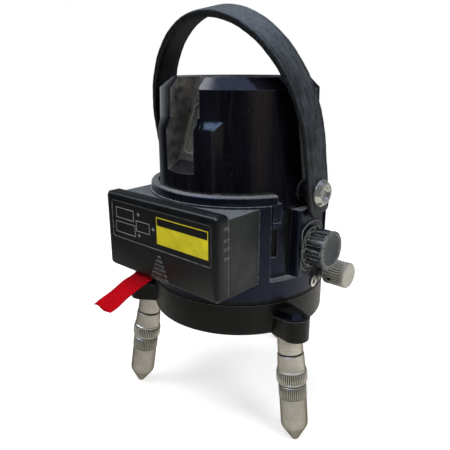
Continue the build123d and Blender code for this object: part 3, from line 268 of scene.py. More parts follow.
def turned(name, colour, rough, pitch, relief, tarnish, bright=1.0, shade=1.0, limb_shade=None):
    """Turned metal: fine rings from the tool and a little tarnish.

    colour times shade is the ground and tarnish the colour of its stains. rough is the least and the
    greatest roughness, pitch a ring's width in millimetres and relief its depth. bright is the share of bare
    metal. A piece with a limb colour knows its distance along its own axis, which the rings follow, and that
    colour tints the metal dark where it turns away, as painted shade along its outline.
    """
    material, tree, coords = new_finish(name)
    rings = {"Scale": per_mm(pitch), "Detail": 3.0, "Roughness": 0.7}
    shader = {"Metallic": bright}
    if limb_shade:
        along = add(tree, "ShaderNodeAttribute", attribute_name="along").outputs["Fac"]
        lines = add(tree, "ShaderNodeTexNoise", {"W": along, **rings}, noise_dimensions="1D").outputs["Fac"]
        # At a glancing angle the plate is all mirror and its dull oxide no longer shows; the mirror is
        # tinted dark there, as painted shade where the metal turns away.
        turning = add(tree, "ShaderNodeLayerWeight", {"Blend": 0.5}).outputs["Facing"]
        mirror = add(tree, "ShaderNodeMapRange", {
            "Value": turning, "From Min": 0.2, "From Max": 0.6, "To Min": bright, "To Max": 1.0})
        shader = {"Metallic": mirror.outputs["Result"], "Specular Tint": linear(limb_shade)}
    else:
        lines = add(tree, "ShaderNodeTexNoise", {"Vector": coords, **rings}).outputs["Fac"]
    spots = patches(tree, coords, 6.0, 0.35, 0.75)
    stain = add(tree, "ShaderNodeMath", {0: spots, 1: 0.55}, operation="MULTIPLY").outputs[0]
    gloss = add(tree, "ShaderNodeMapRange", {
        "Value": lines, "From Min": 0.3, "From Max": 0.7, "To Min": rough[0], "To Max": rough[1]})
    bump = add(tree, "ShaderNodeBump", {"Height": lines, "Strength": relief, "Distance": 0.05 * MM})
    ground = darker(ground_colour(colour), shade)
    surface(tree, {
        **shader, "Base Color": layered(tree, ground, (stain, linear(tarnish))),
        "Roughness": gloss.outputs["Result"], "Normal": bump.outputs["Normal"]})
    return material


def leather_finish(name):
    """Grain-side leather: streaks drawn out along the strap, paler rubbed edges and a dark inner side."""
    material, tree, coords = new_finish(name)
    settings = bpy.context.scene.line_level
    across = add(tree, "ShaderNodeAttribute", attribute_name="across").outputs["Fac"]
    along = add(tree, "ShaderNodeAttribute", attribute_name="along").outputs["Fac"]
    outer = add(tree, "ShaderNodeAttribute", attribute_name="outer").outputs["Fac"]
    half_width = settings.strap_width / 2
    wide = add(tree, "ShaderNodeMath", {0: across, 1: half_width}, operation="MULTIPLY").outputs[0]
    drawn = add(tree, "ShaderNodeMath", {0: along, 1: 0.2}, operation="MULTIPLY").outputs[0]
    unrolled = add(tree, "ShaderNodeCombineXYZ", {"X": wide, "Y": drawn}).outputs["Vector"]
    # Creases about 2.6 mm wide and 13 mm long, where the hand rubs the dye away.
    streaks = patches(tree, unrolled, 2.6, 0.3, 0.75, detail=4.0)
    clouds = patches(tree, coords, 14.0, 0.3, 0.7)
    rub = add(tree, "ShaderNodeMath", {0: streaks, 1: clouds}, operation="MULTIPLY").outputs[0]
    # Painted sheen: faces of the arch that look up are made paler in patches, where light catches them.
    sheen_on_arch = dust_and_sheen_mask(tree, coords, 0.6, 0.2)
    inner = add(tree, "ShaderNodeMath", {0: 1.0, 1: outer}, operation="SUBTRACT").outputs[0]
    away = add(tree, "ShaderNodeMath", {0: across}, operation="ABSOLUTE").outputs[0]
    rim = add(tree, "ShaderNodeMapRange", {
        "Value": away, "From Min": 0.86, "From Max": 0.97, "To Max": 0.9}).outputs["Result"]
    frayed = patches(tree, coords, 1.5, 0.35, 0.65)
    rim = add(tree, "ShaderNodeMath", {0: rim, 1: frayed}, operation="MULTIPLY").outputs[0]
    tone = layered(tree, list(settings.strap_colour), (rub, linear("#50565d")), (sheen_on_arch, linear("#8a949c")),
                   (inner, linear("#050606")), (rim, linear("#2c2f31")))
    # Leather pores are about 0.5 mm wide; they are drawn at 0.9 mm so that they show.
    pores = add(tree, "ShaderNodeTexVoronoi", {"Vector": coords, "Scale": per_mm(0.9)}).outputs["Distance"]
    creases = add(tree, "ShaderNodeTexNoise", {
        "Vector": coords, "Scale": per_mm(5.0), "Detail": 6.0}).outputs["Fac"]
    height = add(tree, "ShaderNodeMath", {0: creases, 1: 2.0, 2: pores}, operation="MULTIPLY_ADD")
    bump = add(tree, "ShaderNodeBump", {"Height": height.outputs[0], "Strength": 0.4, "Distance": 0.3 * MM})
    gloss = add(tree, "ShaderNodeMapRange", {"Value": streaks, "To Min": 0.5, "To Max": 0.36})
    surface(tree, {
        "IOR": 1.48, "Base Color": tone, "Roughness": gloss.outputs["Result"],
        "Normal": bump.outputs["Normal"]})
    return material


def ribbon_finish(name):
    """Woven polyester: ribs of thread both ways, creases from pulling, and a dull saturated dye."""
    material, tree, _ = new_finish(name)
    bright = list(bpy.context.scene.line_level.ribbon_colour)
    deep = darker(bright, 0.6)
    uv = add(tree, "ShaderNodeUVMap", uv_map="weave").outputs["UV"]
    # Thread spacing is about 0.3 mm; it is drawn at 0.7 mm so that it shows.
    threads = {"Vector": uv, "Scale": per_mm(0.7) / (2 * pi), "Distortion": 0.6, "Detail": 2.0}
    weft = add(tree, "ShaderNodeTexWave", threads, bands_direction="Y").outputs["Fac"]
    warp = add(tree, "ShaderNodeTexWave", threads, bands_direction="X").outputs["Fac"]
    cloth = add(tree, "ShaderNodeMath", {0: weft, 1: warp}, operation="MULTIPLY").outputs[0]
    fade = add(tree, "ShaderNodeMath", {0: patches(tree, uv, 9.0, 0.3, 0.7), 1: 0.5}, operation="MULTIPLY")
    # Painted shade: darker where it lies folded under the cover and just outside it, fading away towards its
    # free end, which stays clean.
    run = add(tree, "ShaderNodeSeparateXYZ", {"Vector": uv}).outputs["Y"]
    shade_by_cover = add(tree, "ShaderNodeMapRange", {
        "Value": run, "From Min": 26 * MM, "From Max": 46 * MM, "To Min": 0.8, "To Max": 0.0})
    tone = layered(tree, deep, (cloth, bright), (fade.outputs[0], deep),
                   (shade_by_cover.outputs["Result"], linear("#5a0208")))
    # Creases a few millimetres wide from being folded and pulled.
    folds = add(tree, "ShaderNodeTexNoise", {
        "Vector": uv, "Scale": per_mm(5.0), "Detail": 3.0, "Distortion": 0.8})
    crumpled = add(tree, "ShaderNodeBump", {
        "Height": folds.outputs["Fac"], "Strength": 0.8, "Distance": 1.6 * MM}).outputs["Normal"]
    bump = add(tree, "ShaderNodeBump", {
        "Height": cloth, "Strength": 0.5, "Distance": 0.15 * MM, "Normal": crumpled})
    surface(tree, {
        "Roughness": 0.7, "Specular IOR Level": 0.12, "Base Color": tone, "Normal": bump.outputs["Normal"]})
    return material


def window_finish(name):
    """Cast acrylic sheet: clear, under a film of dust that thickens towards its lower edge."""
    material, tree, coords = new_finish(name)
    low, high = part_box("window_glass")
    height = add(tree, "ShaderNodeSeparateXYZ", {"Vector": coords}).outputs["Z"]
    two_thirds = (low.z + 2 * high.z) / 3
    sunk = add(tree, "ShaderNodeMapRange", {
        "Value": height, "From Min": low.z, "From Max": two_thirds, "To Min": 0.85, "To Max": 0.25})
    dust = patches(tree, coords, 3.0, 0.2, 0.75, detail=8.0)
    film = add(tree, "ShaderNodeMath", {
        0: dust, 1: sunk.outputs["Result"]}, operation="MULTIPLY").outputs[0]
    clear = add(tree, "ShaderNodeMapRange", {"Value": film, "To Min": 0.97, "To Max": 0.45})
    haze = add(tree, "ShaderNodeMapRange", {"Value": film, "To Min": 0.05, "To Max": 0.45})
    surface(tree, {
        "IOR": 1.49, "Base Color": layered(tree, linear("#e6e6e2"), (film, linear("#8f8b83"))),
        "Transmission Weight": clear.outputs["Result"], "Roughness": haze.outputs["Result"]})
    return material


def lens_finish(name):
    """Ground glass rod lens: clear and bright."""
    material, tree, coords = new_finish(name)
    haze = add(tree, "ShaderNodeMapRange", {
        "Value": patches(tree, coords, 2.0, 0.4, 0.7), "To Min": 0.02, "To Max": 0.09})
    surface(tree, {"IOR": 1.52, "Transmission Weight": 1.0, "Roughness": haze.outputs["Result"]})
    return material


def board_finish(name):
    """Glass-fibre board under green solder resist, with paler copper runs beneath it."""
    material, tree, coords = new_finish(name)
    # Copper runs are about 1 mm apart, a quarter of the pattern's unit.
    runs = add(tree, "ShaderNodeTexBrick", {
        "Vector": coords, "Color1": linear("#17402b"), "Color2": linear("#1c4a33"),
        "Mortar": linear("#2f6b4a"), "Scale": per_mm(4.0), "Mortar Size": 0.06})
    surface(tree, {"IOR": 1.55, "Roughness": 0.35, "Base Color": runs.outputs["Color"]})
    return material


MOULDED = {
    # Polished ABS: near black with a blue cast, deep gloss, dust on its ledges.
    "abs_polished": dict(
        colour="housing_colour", worn="#6f7886", dust="#8a8d90", rough=(0.06, 0.2), grain=6.0,
        relief=0.03, wear=0.6, settle=0.3, wipe=0.1, corner=0.8, reach=2.5, least=-0.2, specks=0.06,
        film=0.015, broken=0.36),
    # Satin ABS: charcoal with a blue cast, half gloss, dust along its ledges.
    "abs_satin": dict(
        colour="#0a0c14", worn="#7d838b", dust="#9a9da0", rough=(0.2, 0.34), grain=2.0, relief=0.05,
        wear=0.6, settle=1.0, spread=0.4, wipe=0.3, corner=1.0, reach=6.0, tint="#b9c8f0",
        broken=0.36),
    # The same ABS inside the slot, under dust that no cloth reaches.
    "abs_dusty": dict(
        colour="#0a0b11", worn="#7d7a74", dust="#85827d", rough=(0.25, 0.45), grain=1.0, relief=0.1,
        wear=0.6, settle=0.25, spread=0.2, corner=0.5, reach=14.0, least=-0.5, specks=0.9, film=0.5),
    # Painted shade: black and dull, laid where slots, gaps and holes lie in shadow.
    "abs_shadow": dict(
        colour="#020202", worn="#1c1d1e", dust="#0b0b0b", rough=(0.6, 0.8), grain=1.0, relief=0.05,
        wear=0.1, settle=0.1),
    # Pale rubber sealing bead, greyed by dust.
    "rubber_bead": dict(
        colour="#75736b", worn="#a5a296", dust="#8f8c82", rough=(0.5, 0.7), grain=0.8, relief=0.12,
        wear=0.4, settle=0.5, spread=0.3),
    # Grained ABS: charcoal, satin, scuffed edges and a veil of dust.
    "abs_grained": dict(
        colour="box_colour", worn="#8b908e", dust="#8c9298", rough=(0.36, 0.52), grain=0.8,
        relief=0.16, wear=0.6, settle=0.85, wipe=0.4, corner=0.5, broken=0.36),
    # The same ABS on the cover, which hands keep free of dust and rub pale at the edges.
    "abs_handled": dict(
        colour="#0a0c0c", worn="#8b908e", dust="#5d6265", rough=(0.3, 0.42), grain=0.8, relief=0.14,
        wear=0.8, settle=0.05, wipe=0.4),
    # Baked paint on a casting: black, half matt, paler where it is rubbed.
    "paint_casting": dict(
        colour="base_colour", worn="#6e716e", dust="#5f605a", rough=(0.3, 0.44), grain=1.4, relief=0.1,
        wear=0.6, settle=0.45, tint="#bfc0bc"),
    # Polished ABS cap: deepest black and the sharpest gloss on the part.
    "abs_cap": dict(
        colour="#030305", worn="#4b5058", dust="#505254", rough=(0.05, 0.12), grain=5.0, relief=0.02,
        wear=0.3, settle=0.3, tint="#9ba0b4"),
    # Moulded nylon: black and glossy on the ribs, paler along their crests and edges as a painted highlight,
    # with some rubbed wear.
    "nylon_knob": dict(
        colour="#17191a", worn="#b4b8b8", dust="#5c5e5e", rough=(0.16, 0.28), grain=1.6, relief=0.05,
        wear=1.0, settle=0.4),
    # ABS plate behind the knob: black, satin, with pale edges that are partly rubbed wear and partly a
    # painted highlight on its rim.
    "abs_dial": dict(
        colour="#0b0c0d", worn="#a9adac", dust="#6b6d6c", rough=(0.25, 0.4), grain=0.8, relief=0.1,
        wear=0.9, settle=0.4),
    # Painted highlight: the plate's rounded rim is made pale where light catches it.
    "abs_dial_rim_highlight": dict(
        colour="#5d6162", worn="#a9adac", dust="#6b6d6c", rough=(0.2, 0.35), grain=0.8, relief=0.1,
        wear=0.5, settle=0.3),
    # ABS disc in the knob's face: mid grey, matt.
    "abs_knob_face": dict(
        colour="#34383a", worn="#8b8f8f", dust="#5c5f5f", rough=(0.45, 0.6), grain=0.8, relief=0.12,
        wear=0.5, settle=0.3),
    # Machined acetal: cream and waxy at the head that the window shows, and near black on its lower half.
    "acetal_cream": dict(
        colour="#c2bda8", worn="#d9d5c6", dust="#a29d8d", rough=(0.35, 0.5), grain=1.2, relief=0.05,
        wear=0.2, settle=0.2, foot=("lens_mount", "#0d0d0e")),
    # Nitrile rubber: dull dark grey.
    "rubber_seal": dict(
        colour="#2b2a26", worn="#4a4843", dust="#57554f", rough=(0.6, 0.75), grain=0.7, relief=0.15,
        wear=0.2, settle=0.3),
    # Acetal washer: off-white, slippery.
    "acetal_white": dict(
        colour="#c9c9c4", worn="#dedede", dust="#a5a5a0", rough=(0.3, 0.45), grain=1.2, relief=0.04,
        wear=0.2, settle=0.2),
    # Shrunk PVC sleeve of a plain cell: slate blue, smooth.
    "pvc_sleeve": dict(
        colour="#26394a", worn="#5d7286", dust="#63686b", rough=(0.2, 0.32), grain=3.0, relief=0.04,
        wear=0.3, settle=0.2),
    # Phenolic moulding of the switch: brown black, dull.
    "phenolic_switch": dict(
        colour="#1d1714", worn="#4d443e", dust="#57524c", rough=(0.45, 0.6), grain=0.9, relief=0.1,
        wear=0.3, settle=0.3),
    # Printed vinyl: yellow, satin, a little faded and soiled.
    "sticker_ground": dict(
        colour="label_colour", worn="#e6da3a", dust="#8c8860", rough=(0.4, 0.55), grain=1.6,
        relief=0.04, wear=0.2, settle=0.2),
    # Printed vinyl: black ink.
    "sticker_band": dict(
        colour="#0b0b09", worn="#3a381e", dust="#33322c", rough=(0.34, 0.5), grain=1.6, relief=0.04,
        wear=0.2, settle=0.2),
    # Dark matt vinyl film under the battery marks.
    "sticker_film": dict(
        colour="#0a0b0c", worn="#4b4f4e", dust="#4d504d", rough=(0.42, 0.58), grain=0.9, relief=0.1,
        wear=0.2, settle=0.3),
    # Pale screen-printed ink, rubbed thin.
    "ink_pale": dict(
        colour="#858988", worn="#6a6d6d", dust="#8c8d89", rough=(0.5, 0.65), grain=1.2, relief=0.05,
        wear=0.3, settle=0.2),
}
TURNED = {
    # Satin nickel on turned brass: warm pale grey with fine tool rings.
    "nickel_turned": dict(
        colour="leg_colour", rough=(0.26, 0.4), pitch=0.5, relief=0.2, tarnish="#aea897", bright=0.62,
        limb_shade="#4a4741"),
    # The same plate on the feet, dulled by floors and grit.
    "nickel_worn": dict(
        colour="leg_colour", shade=0.8, rough=(0.32, 0.46), pitch=0.5, relief=0.2, tarnish="#98927f",
        bright=0.62, limb_shade="#4a4741"),
    # The same plate at the bottom of a knurl, darker with dirt and with painted shade between the ridges.
    "nickel_groove_dirt_and_shade": dict(
        colour="#5b574d", rough=(0.4, 0.55), pitch=0.5, relief=0.2, tarnish="#46423a", bright=0.5,
        limb_shade="#4a4741"),
    # Satin nickel on a knurled knob: pale, dull, a little oxidised.
    "nickel_satin": dict(
        colour="#c4c2b7", rough=(0.38, 0.5), pitch=1.0, relief=0.15, tarnish="#a5a196", bright=0.4),
    # Plated steel: bright, cool, a few dull spots.
    "nickel_plate": dict(
        colour="#d6d5cd", rough=(0.14, 0.24), pitch=1.2, relief=0.03, tarnish="#b5b0a4", bright=0.8),
    # Turned brass: warm yellow metal, satin.
    "brass_turned": dict(colour="#b08a4c", rough=(0.22, 0.36), pitch=0.7, relief=0.2, tarnish="#8a6a38"),
    # Ground steel: neutral grey, fine lines.
    "steel_ground": dict(colour="#8d9092", rough=(0.2, 0.35), pitch=0.6, relief=0.2, tarnish="#77746c"),
    # Milled aluminium: pale grey, satin.
    "aluminium_milled": dict(colour="#b6b8ba", rough=(0.28, 0.42), pitch=0.8, relief=0.2, tarnish="#9c9d9c"),
}
# Finishes with a function of their own.
SINGLE = {
    "leather_grain_dyed": leather_finish,
    "polyester_woven_red": ribbon_finish,
    "acrylic_cast_clear": window_finish,
    "glass_ground_clear": lens_finish,
    "fibre_board_resist": board_finish,
}
made_finishes = {}


def finish(name):
    """The material of that name, made when it is first asked for."""
    if name not in made_finishes:
        if name in MOULDED:
            made_finishes[name] = moulded(name, **MOULDED[name])
        elif name in TURNED:
            made_finishes[name] = turned(name, **TURNED[name])
        else:
            made_finishes[name] = SINGLE[name](name)
    return made_finishes[name]


def keep(piece, body, nodes=()):
    """Puts a finished piece on its body, in the place of the nodes that it stands for."""
    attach(piece, body)
    if nodes:
        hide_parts(*nodes)


def new_piece(name, mesh, *materials):
    """An object at the origin that shows a mesh."""
    piece = bpy.data.objects.new(name, mesh)
    bpy.context.scene.collection.objects.link(piece)
    for material in materials:
        mesh.materials.append(material)
    return piece


def mesh_from(bm, name):
    """A new mesh from a bmesh, which is freed."""
    mesh = bpy.data.meshes.new(name)
    bm.to_mesh(mesh)
    bm.free()
    return mesh


def plain_mesh(piece):
    """Turns a piece's modifiers into its mesh."""
    bpy.context.view_layer.update()
    graph = bpy.context.evaluated_depsgraph_get()
    baked = bpy.data.meshes.new_from_object(piece.evaluated_get(graph), depsgraph=graph)
    piece.modifiers.clear()
    spare = piece.data
    piece.data = baked
    bpy.data.meshes.remove(spare)
    return baked


def joined(name, pieces):
    """One object from several, with their materials kept."""
    bm = bmesh.new()
    materials = []
    for piece in pieces:
        start = len(bm.faces)
        bm.from_mesh(piece.data)
        bm.faces.ensure_lookup_table()
        places = []
        for material in piece.data.materials:
            if material not in materials:
                materials.append(material)
            places.append(materials.index(material))
        for face in bm.faces[start:]:
            face.material_index = places[min(face.material_index, len(places) - 1)]
    for piece in pieces:
        spare = piece.data
        bpy.data.objects.remove(piece)
        bpy.data.meshes.remove(spare)
    return new_piece(name, mesh_from(bm, name), *materials)


def dressed(node, name, material, edge=0.0, angle=34.0, cut=None):
    """A smooth copy of a CAD node; its edges may be rounded by a width, and its faces split at a height."""
    mesh = frame["nodes"][node].data.copy()
    mesh.materials.clear()
    normals = mesh.attributes.get("custom_normal")
    if normals:
        mesh.attributes.remove(normals)
    bm = bmesh.new()
    bm.from_mesh(mesh)
    doubles = 0.004 * MM
    bmesh.ops.remove_doubles(bm, verts=bm.verts, dist=doubles)
    bmesh.ops.dissolve_degenerate(bm, edges=bm.edges, dist=doubles)
    if edge:
        bmesh.ops.dissolve_limit(bm, angle_limit=radians(0.5), verts=bm.verts, edges=bm.edges)
    if cut:
        bmesh.ops.bisect_plane(
            bm, geom=[*bm.verts, *bm.edges, *bm.faces], plane_co=(0, 0, cut), plane_no=(0, 0, 1))
    for face in bm.faces:
        face.smooth = True
    bm.to_mesh(mesh)
    bm.free()
    piece = new_piece(name, mesh, material)
    if edge:
        rounding = piece.modifiers.new("rounding", "BEVEL")
        rounding.width = edge
        rounding.segments = 2
        rounding.limit_method = "ANGLE"
        rounding.angle_limit = radians(angle)
        rounding.harden_normals = True
    else:
        mesh.set_sharp_from_angle(angle=radians(angle))
        piece.modifiers.new("even_light", "WEIGHTED_NORMAL").keep_sharp = True
    plain_mesh(piece)
    return piece


def paint(piece, material, test):
    """Gives another material to faces that a test picks by their middle, in millimetres, and normal."""
    piece.data.materials.append(material)
    for face in piece.data.polygons:
        if test(face.center / MM, face.normal):
            face.material_index = len(piece.data.materials) - 1


def lathe(name, profile, place, *materials, segments=72):
    """A closed turned piece about a placed axis.

    The profile is (radius, distance along) in millimetres, and a third number is the material of the band up
    to the next point. Edges sharper than 26 degrees stay crisp.
    """
    bm = bmesh.new()
    along = bm.verts.layers.float.new("along")
    rings = []
    for radius, distance, *_ in profile:
        ring = []
        for i in range(segments if radius > 0 else 1):
            turn = 2 * pi * i / segments
            vert = bm.verts.new((radius * cos(turn) * MM, radius * sin(turn) * MM, distance * MM))
            vert[along] = distance * MM
            ring.append(vert)
        rings.append(ring)
    for low, high, (_, _, *band) in zip(rings, rings[1:], profile):
        for i in range(segments):
            j = i + 1
            quad = [low[i % len(low)], low[j % len(low)], high[j % len(high)], high[i % len(high)]]
            corners = [v for k, v in enumerate(quad) if v not in quad[:k]]
            if len(corners) > 2:
                made = bm.faces.new(corners)
                made.smooth = True
                made.material_index = band[0] if band else 0
    bmesh.ops.recalc_face_normals(bm, faces=bm.faces)
    bm.transform(place)
    mesh = mesh_from(bm, name)
    mesh.set_sharp_from_angle(angle=radians(26))
    return new_piece(name, mesh, *materials)


def arc(centre, radius, start, end, steps):
    """Points of a profile on a round stretch between two angles, in degrees from straight outwards."""
    points = []
    for i in range(steps + 1):
        turn = radians(start + (end - start) * i / steps)
        # Rounded, so that a point on the axis has no radius at all.
        points.append((round(centre[0] + radius * cos(turn), 4), round(centre[1] + radius * sin(turn), 4)))
    return points


def new_tree(name, sizes, count=None):
    """A node tree with named lengths, a count where one is named, and a material as its inputs."""
    tree = bpy.data.node_groups.new(name, "GeometryNodeTree")
    tree.interface.new_socket("Geometry", in_out="INPUT", socket_type="NodeSocketGeometry")
    if count:
        tree.interface.new_socket(count, in_out="INPUT", socket_type="NodeSocketInt")
    for size in sizes:
        tree.interface.new_socket(size, in_out="INPUT", socket_type="NodeSocketFloat")
    tree.interface.new_socket("Material", in_out="INPUT", socket_type="NodeSocketMaterial")
    tree.interface.new_socket("Geometry", in_out="OUTPUT", socket_type="NodeSocketGeometry")
    return tree, add(tree, "NodeGroupInput").outputs


def end_tree(tree, shape, material):
    """Ends a node tree in a smooth shape without instances, in its material."""
    smooth = add(tree, "GeometryNodeSetShadeSmooth", {"Geometry": shape})
    real = add(tree, "GeometryNodeRealizeInstances", {"Geometry": smooth.outputs["Geometry"]})
    painted = add(tree, "GeometryNodeSetMaterial", {
        "Geometry": real.outputs["Geometry"], "Material": material})
    add(tree, "NodeGroupOutput", {"Geometry": painted.outputs["Geometry"]})
    return tree


def ridge_tree():
    """Node tree that sets rounded ridges around an axis, as a knurl or a fluted grip has."""
    if "ridge_ring" in bpy.data.node_groups:
        return bpy.data.node_groups["ridge_ring"]
    tree, given = new_tree("ridge_ring", ("Radius", "Width", "Rise", "Length", "Start"), count="Count")
    # A small ball is made as wide and as high as a ridge, then drawn out to a bar with round ends.
    ball = add(tree, "GeometryNodeMeshUVSphere", {"Segments": 8, "Rings": 6, "Radius": 1.0})
    where = add(tree, "ShaderNodeSeparateXYZ", {"Vector": add(tree, "GeometryNodeInputPosition").outputs[0]})
    end = add(tree, "ShaderNodeMath", {0: where.outputs["Z"]}, operation="SIGN").outputs[0]
    half = add(tree, "ShaderNodeMath", {0: given["Width"], 1: 0.5}, operation="MULTIPLY").outputs[0]
    run = add(tree, "ShaderNodeMath", {0: given["Length"], 1: 0.5}, operation="MULTIPLY").outputs[0]
    run = add(tree, "ShaderNodeMath", {0: run, 1: half}, operation="SUBTRACT").outputs[0]
    push = add(tree, "ShaderNodeMath", {0: end, 1: run}, operation="MULTIPLY").outputs[0]
    shrink = add(tree, "ShaderNodeCombineXYZ", {"X": given["Rise"], "Y": half, "Z": half})
    small = add(tree, "GeometryNodeTransform", {
        "Geometry": ball.outputs["Mesh"], "Scale": shrink.outputs["Vector"]})
    shift = add(tree, "ShaderNodeCombineXYZ", {"Z": push})
    bar = add(tree, "GeometryNodeSetPosition", {
        "Geometry": small.outputs["Geometry"], "Offset": shift.outputs["Vector"]})
    ring = add(tree, "GeometryNodeMeshCircle", {"Vertices": given["Count"], "Radius": given["Radius"]})
    lift = add(tree, "ShaderNodeCombineXYZ", {"Z": given["Start"]})
    raised = add(tree, "GeometryNodeTransform", {
        "Geometry": ring.outputs["Mesh"], "Translation": lift.outputs["Vector"]})
    turn = add(tree, "ShaderNodeMath", {0: 2 * pi, 1: given["Count"]}, operation="DIVIDE").outputs[0]
    index = add(tree, "GeometryNodeInputIndex").outputs[0]
    angle = add(tree, "ShaderNodeMath", {0: index, 1: turn}, operation="MULTIPLY").outputs[0]
    facing = add(tree, "ShaderNodeCombineXYZ", {"Z": angle})
    placed = add(tree, "GeometryNodeInstanceOnPoints", {
        "Points": raised.outputs["Geometry"], "Instance": bar.outputs["Geometry"],
        "Rotation": facing.outputs["Vector"]})
    return end_tree(tree, placed.outputs["Instances"], given["Material"])


def bead_tree():
    """Node tree that runs a round bead along a rectangle with rounded corners."""
    tree, given = new_tree("bead_loop", ("Width", "Height", "Corner", "Radius"))
    loop = add(tree, "GeometryNodeCurvePrimitiveQuadrilateral", {
        "Width": given["Width"], "Height": given["Height"]})
    soft = add(tree, "GeometryNodeFilletCurve", {
        "Curve": loop.outputs["Curve"], "Radius": given["Corner"], "Count": 8}, mode="POLY")
    section = add(tree, "GeometryNodeCurvePrimitiveCircle", {"Resolution": 10, "Radius": given["Radius"]})
    bead = add(tree, "GeometryNodeCurveToMesh", {
        "Curve": soft.outputs["Curve"], "Profile Curve": section.outputs["Curve"]})
    return end_tree(tree, bead.outputs["Mesh"], given["Material"])


def from_tree(name, tree, place, material, count=None, **lengths):
    """A node tree's result as a plain mesh in its place, for a count and for lengths in millimetres."""
    piece = new_piece(name, bpy.data.meshes.new(name), material)
    modifier = piece.modifiers.new("tree", "NODES")
    modifier.node_group = tree
    wanted = {"Material": material, **{size: length * MM for size, length in lengths.items()}}
    if count:
        wanted["Count"] = count
    for item in tree.interface.items_tree:
        if item.in_out == "INPUT" and item.name in wanted:
            modifier[item.identifier] = wanted[item.name]
    mesh = plain_mesh(piece)
    mesh.transform(place)
    along = mesh.attributes.new("along", "FLOAT", "POINT")
    back = place.inverted()
    for vert, value in zip(mesh.vertices, along.data):
        value.value = (back @ vert.co).z
    return piece


def joint(name):
    """A joint's row in the frame."""
    return next(row for row in frame["joints"] if row["name"] == name)


def leg_place(side):
    """Matrix from a leg's own axis, with its tip at the origin, to its place, from the nut's joint."""
    nut = joint(f"nut_turn_{side}")
    up = Vector(nut["axis"]).normalized()
    on_axis = Vector(nut["pos_m"])
    out = Vector((-up.x, -up.y, 0)).normalized()
    tangent = Vector((-out.y, out.x, 0))
    place = Matrix((tangent.cross(up), tangent, up)).transposed().to_4x4()
    place.translation = on_axis - up * (on_axis.z / up.z)
    return place


def side_place(node):
    """Matrix from an upright axis to the axis along +X of a round node on the right, from its inner end."""
    low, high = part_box(node)
    middle = (low + high) / 2
    return Matrix.Translation((low.x, middle.y, middle.z)) @ Matrix.Rotation(pi / 2, 4, "Y")


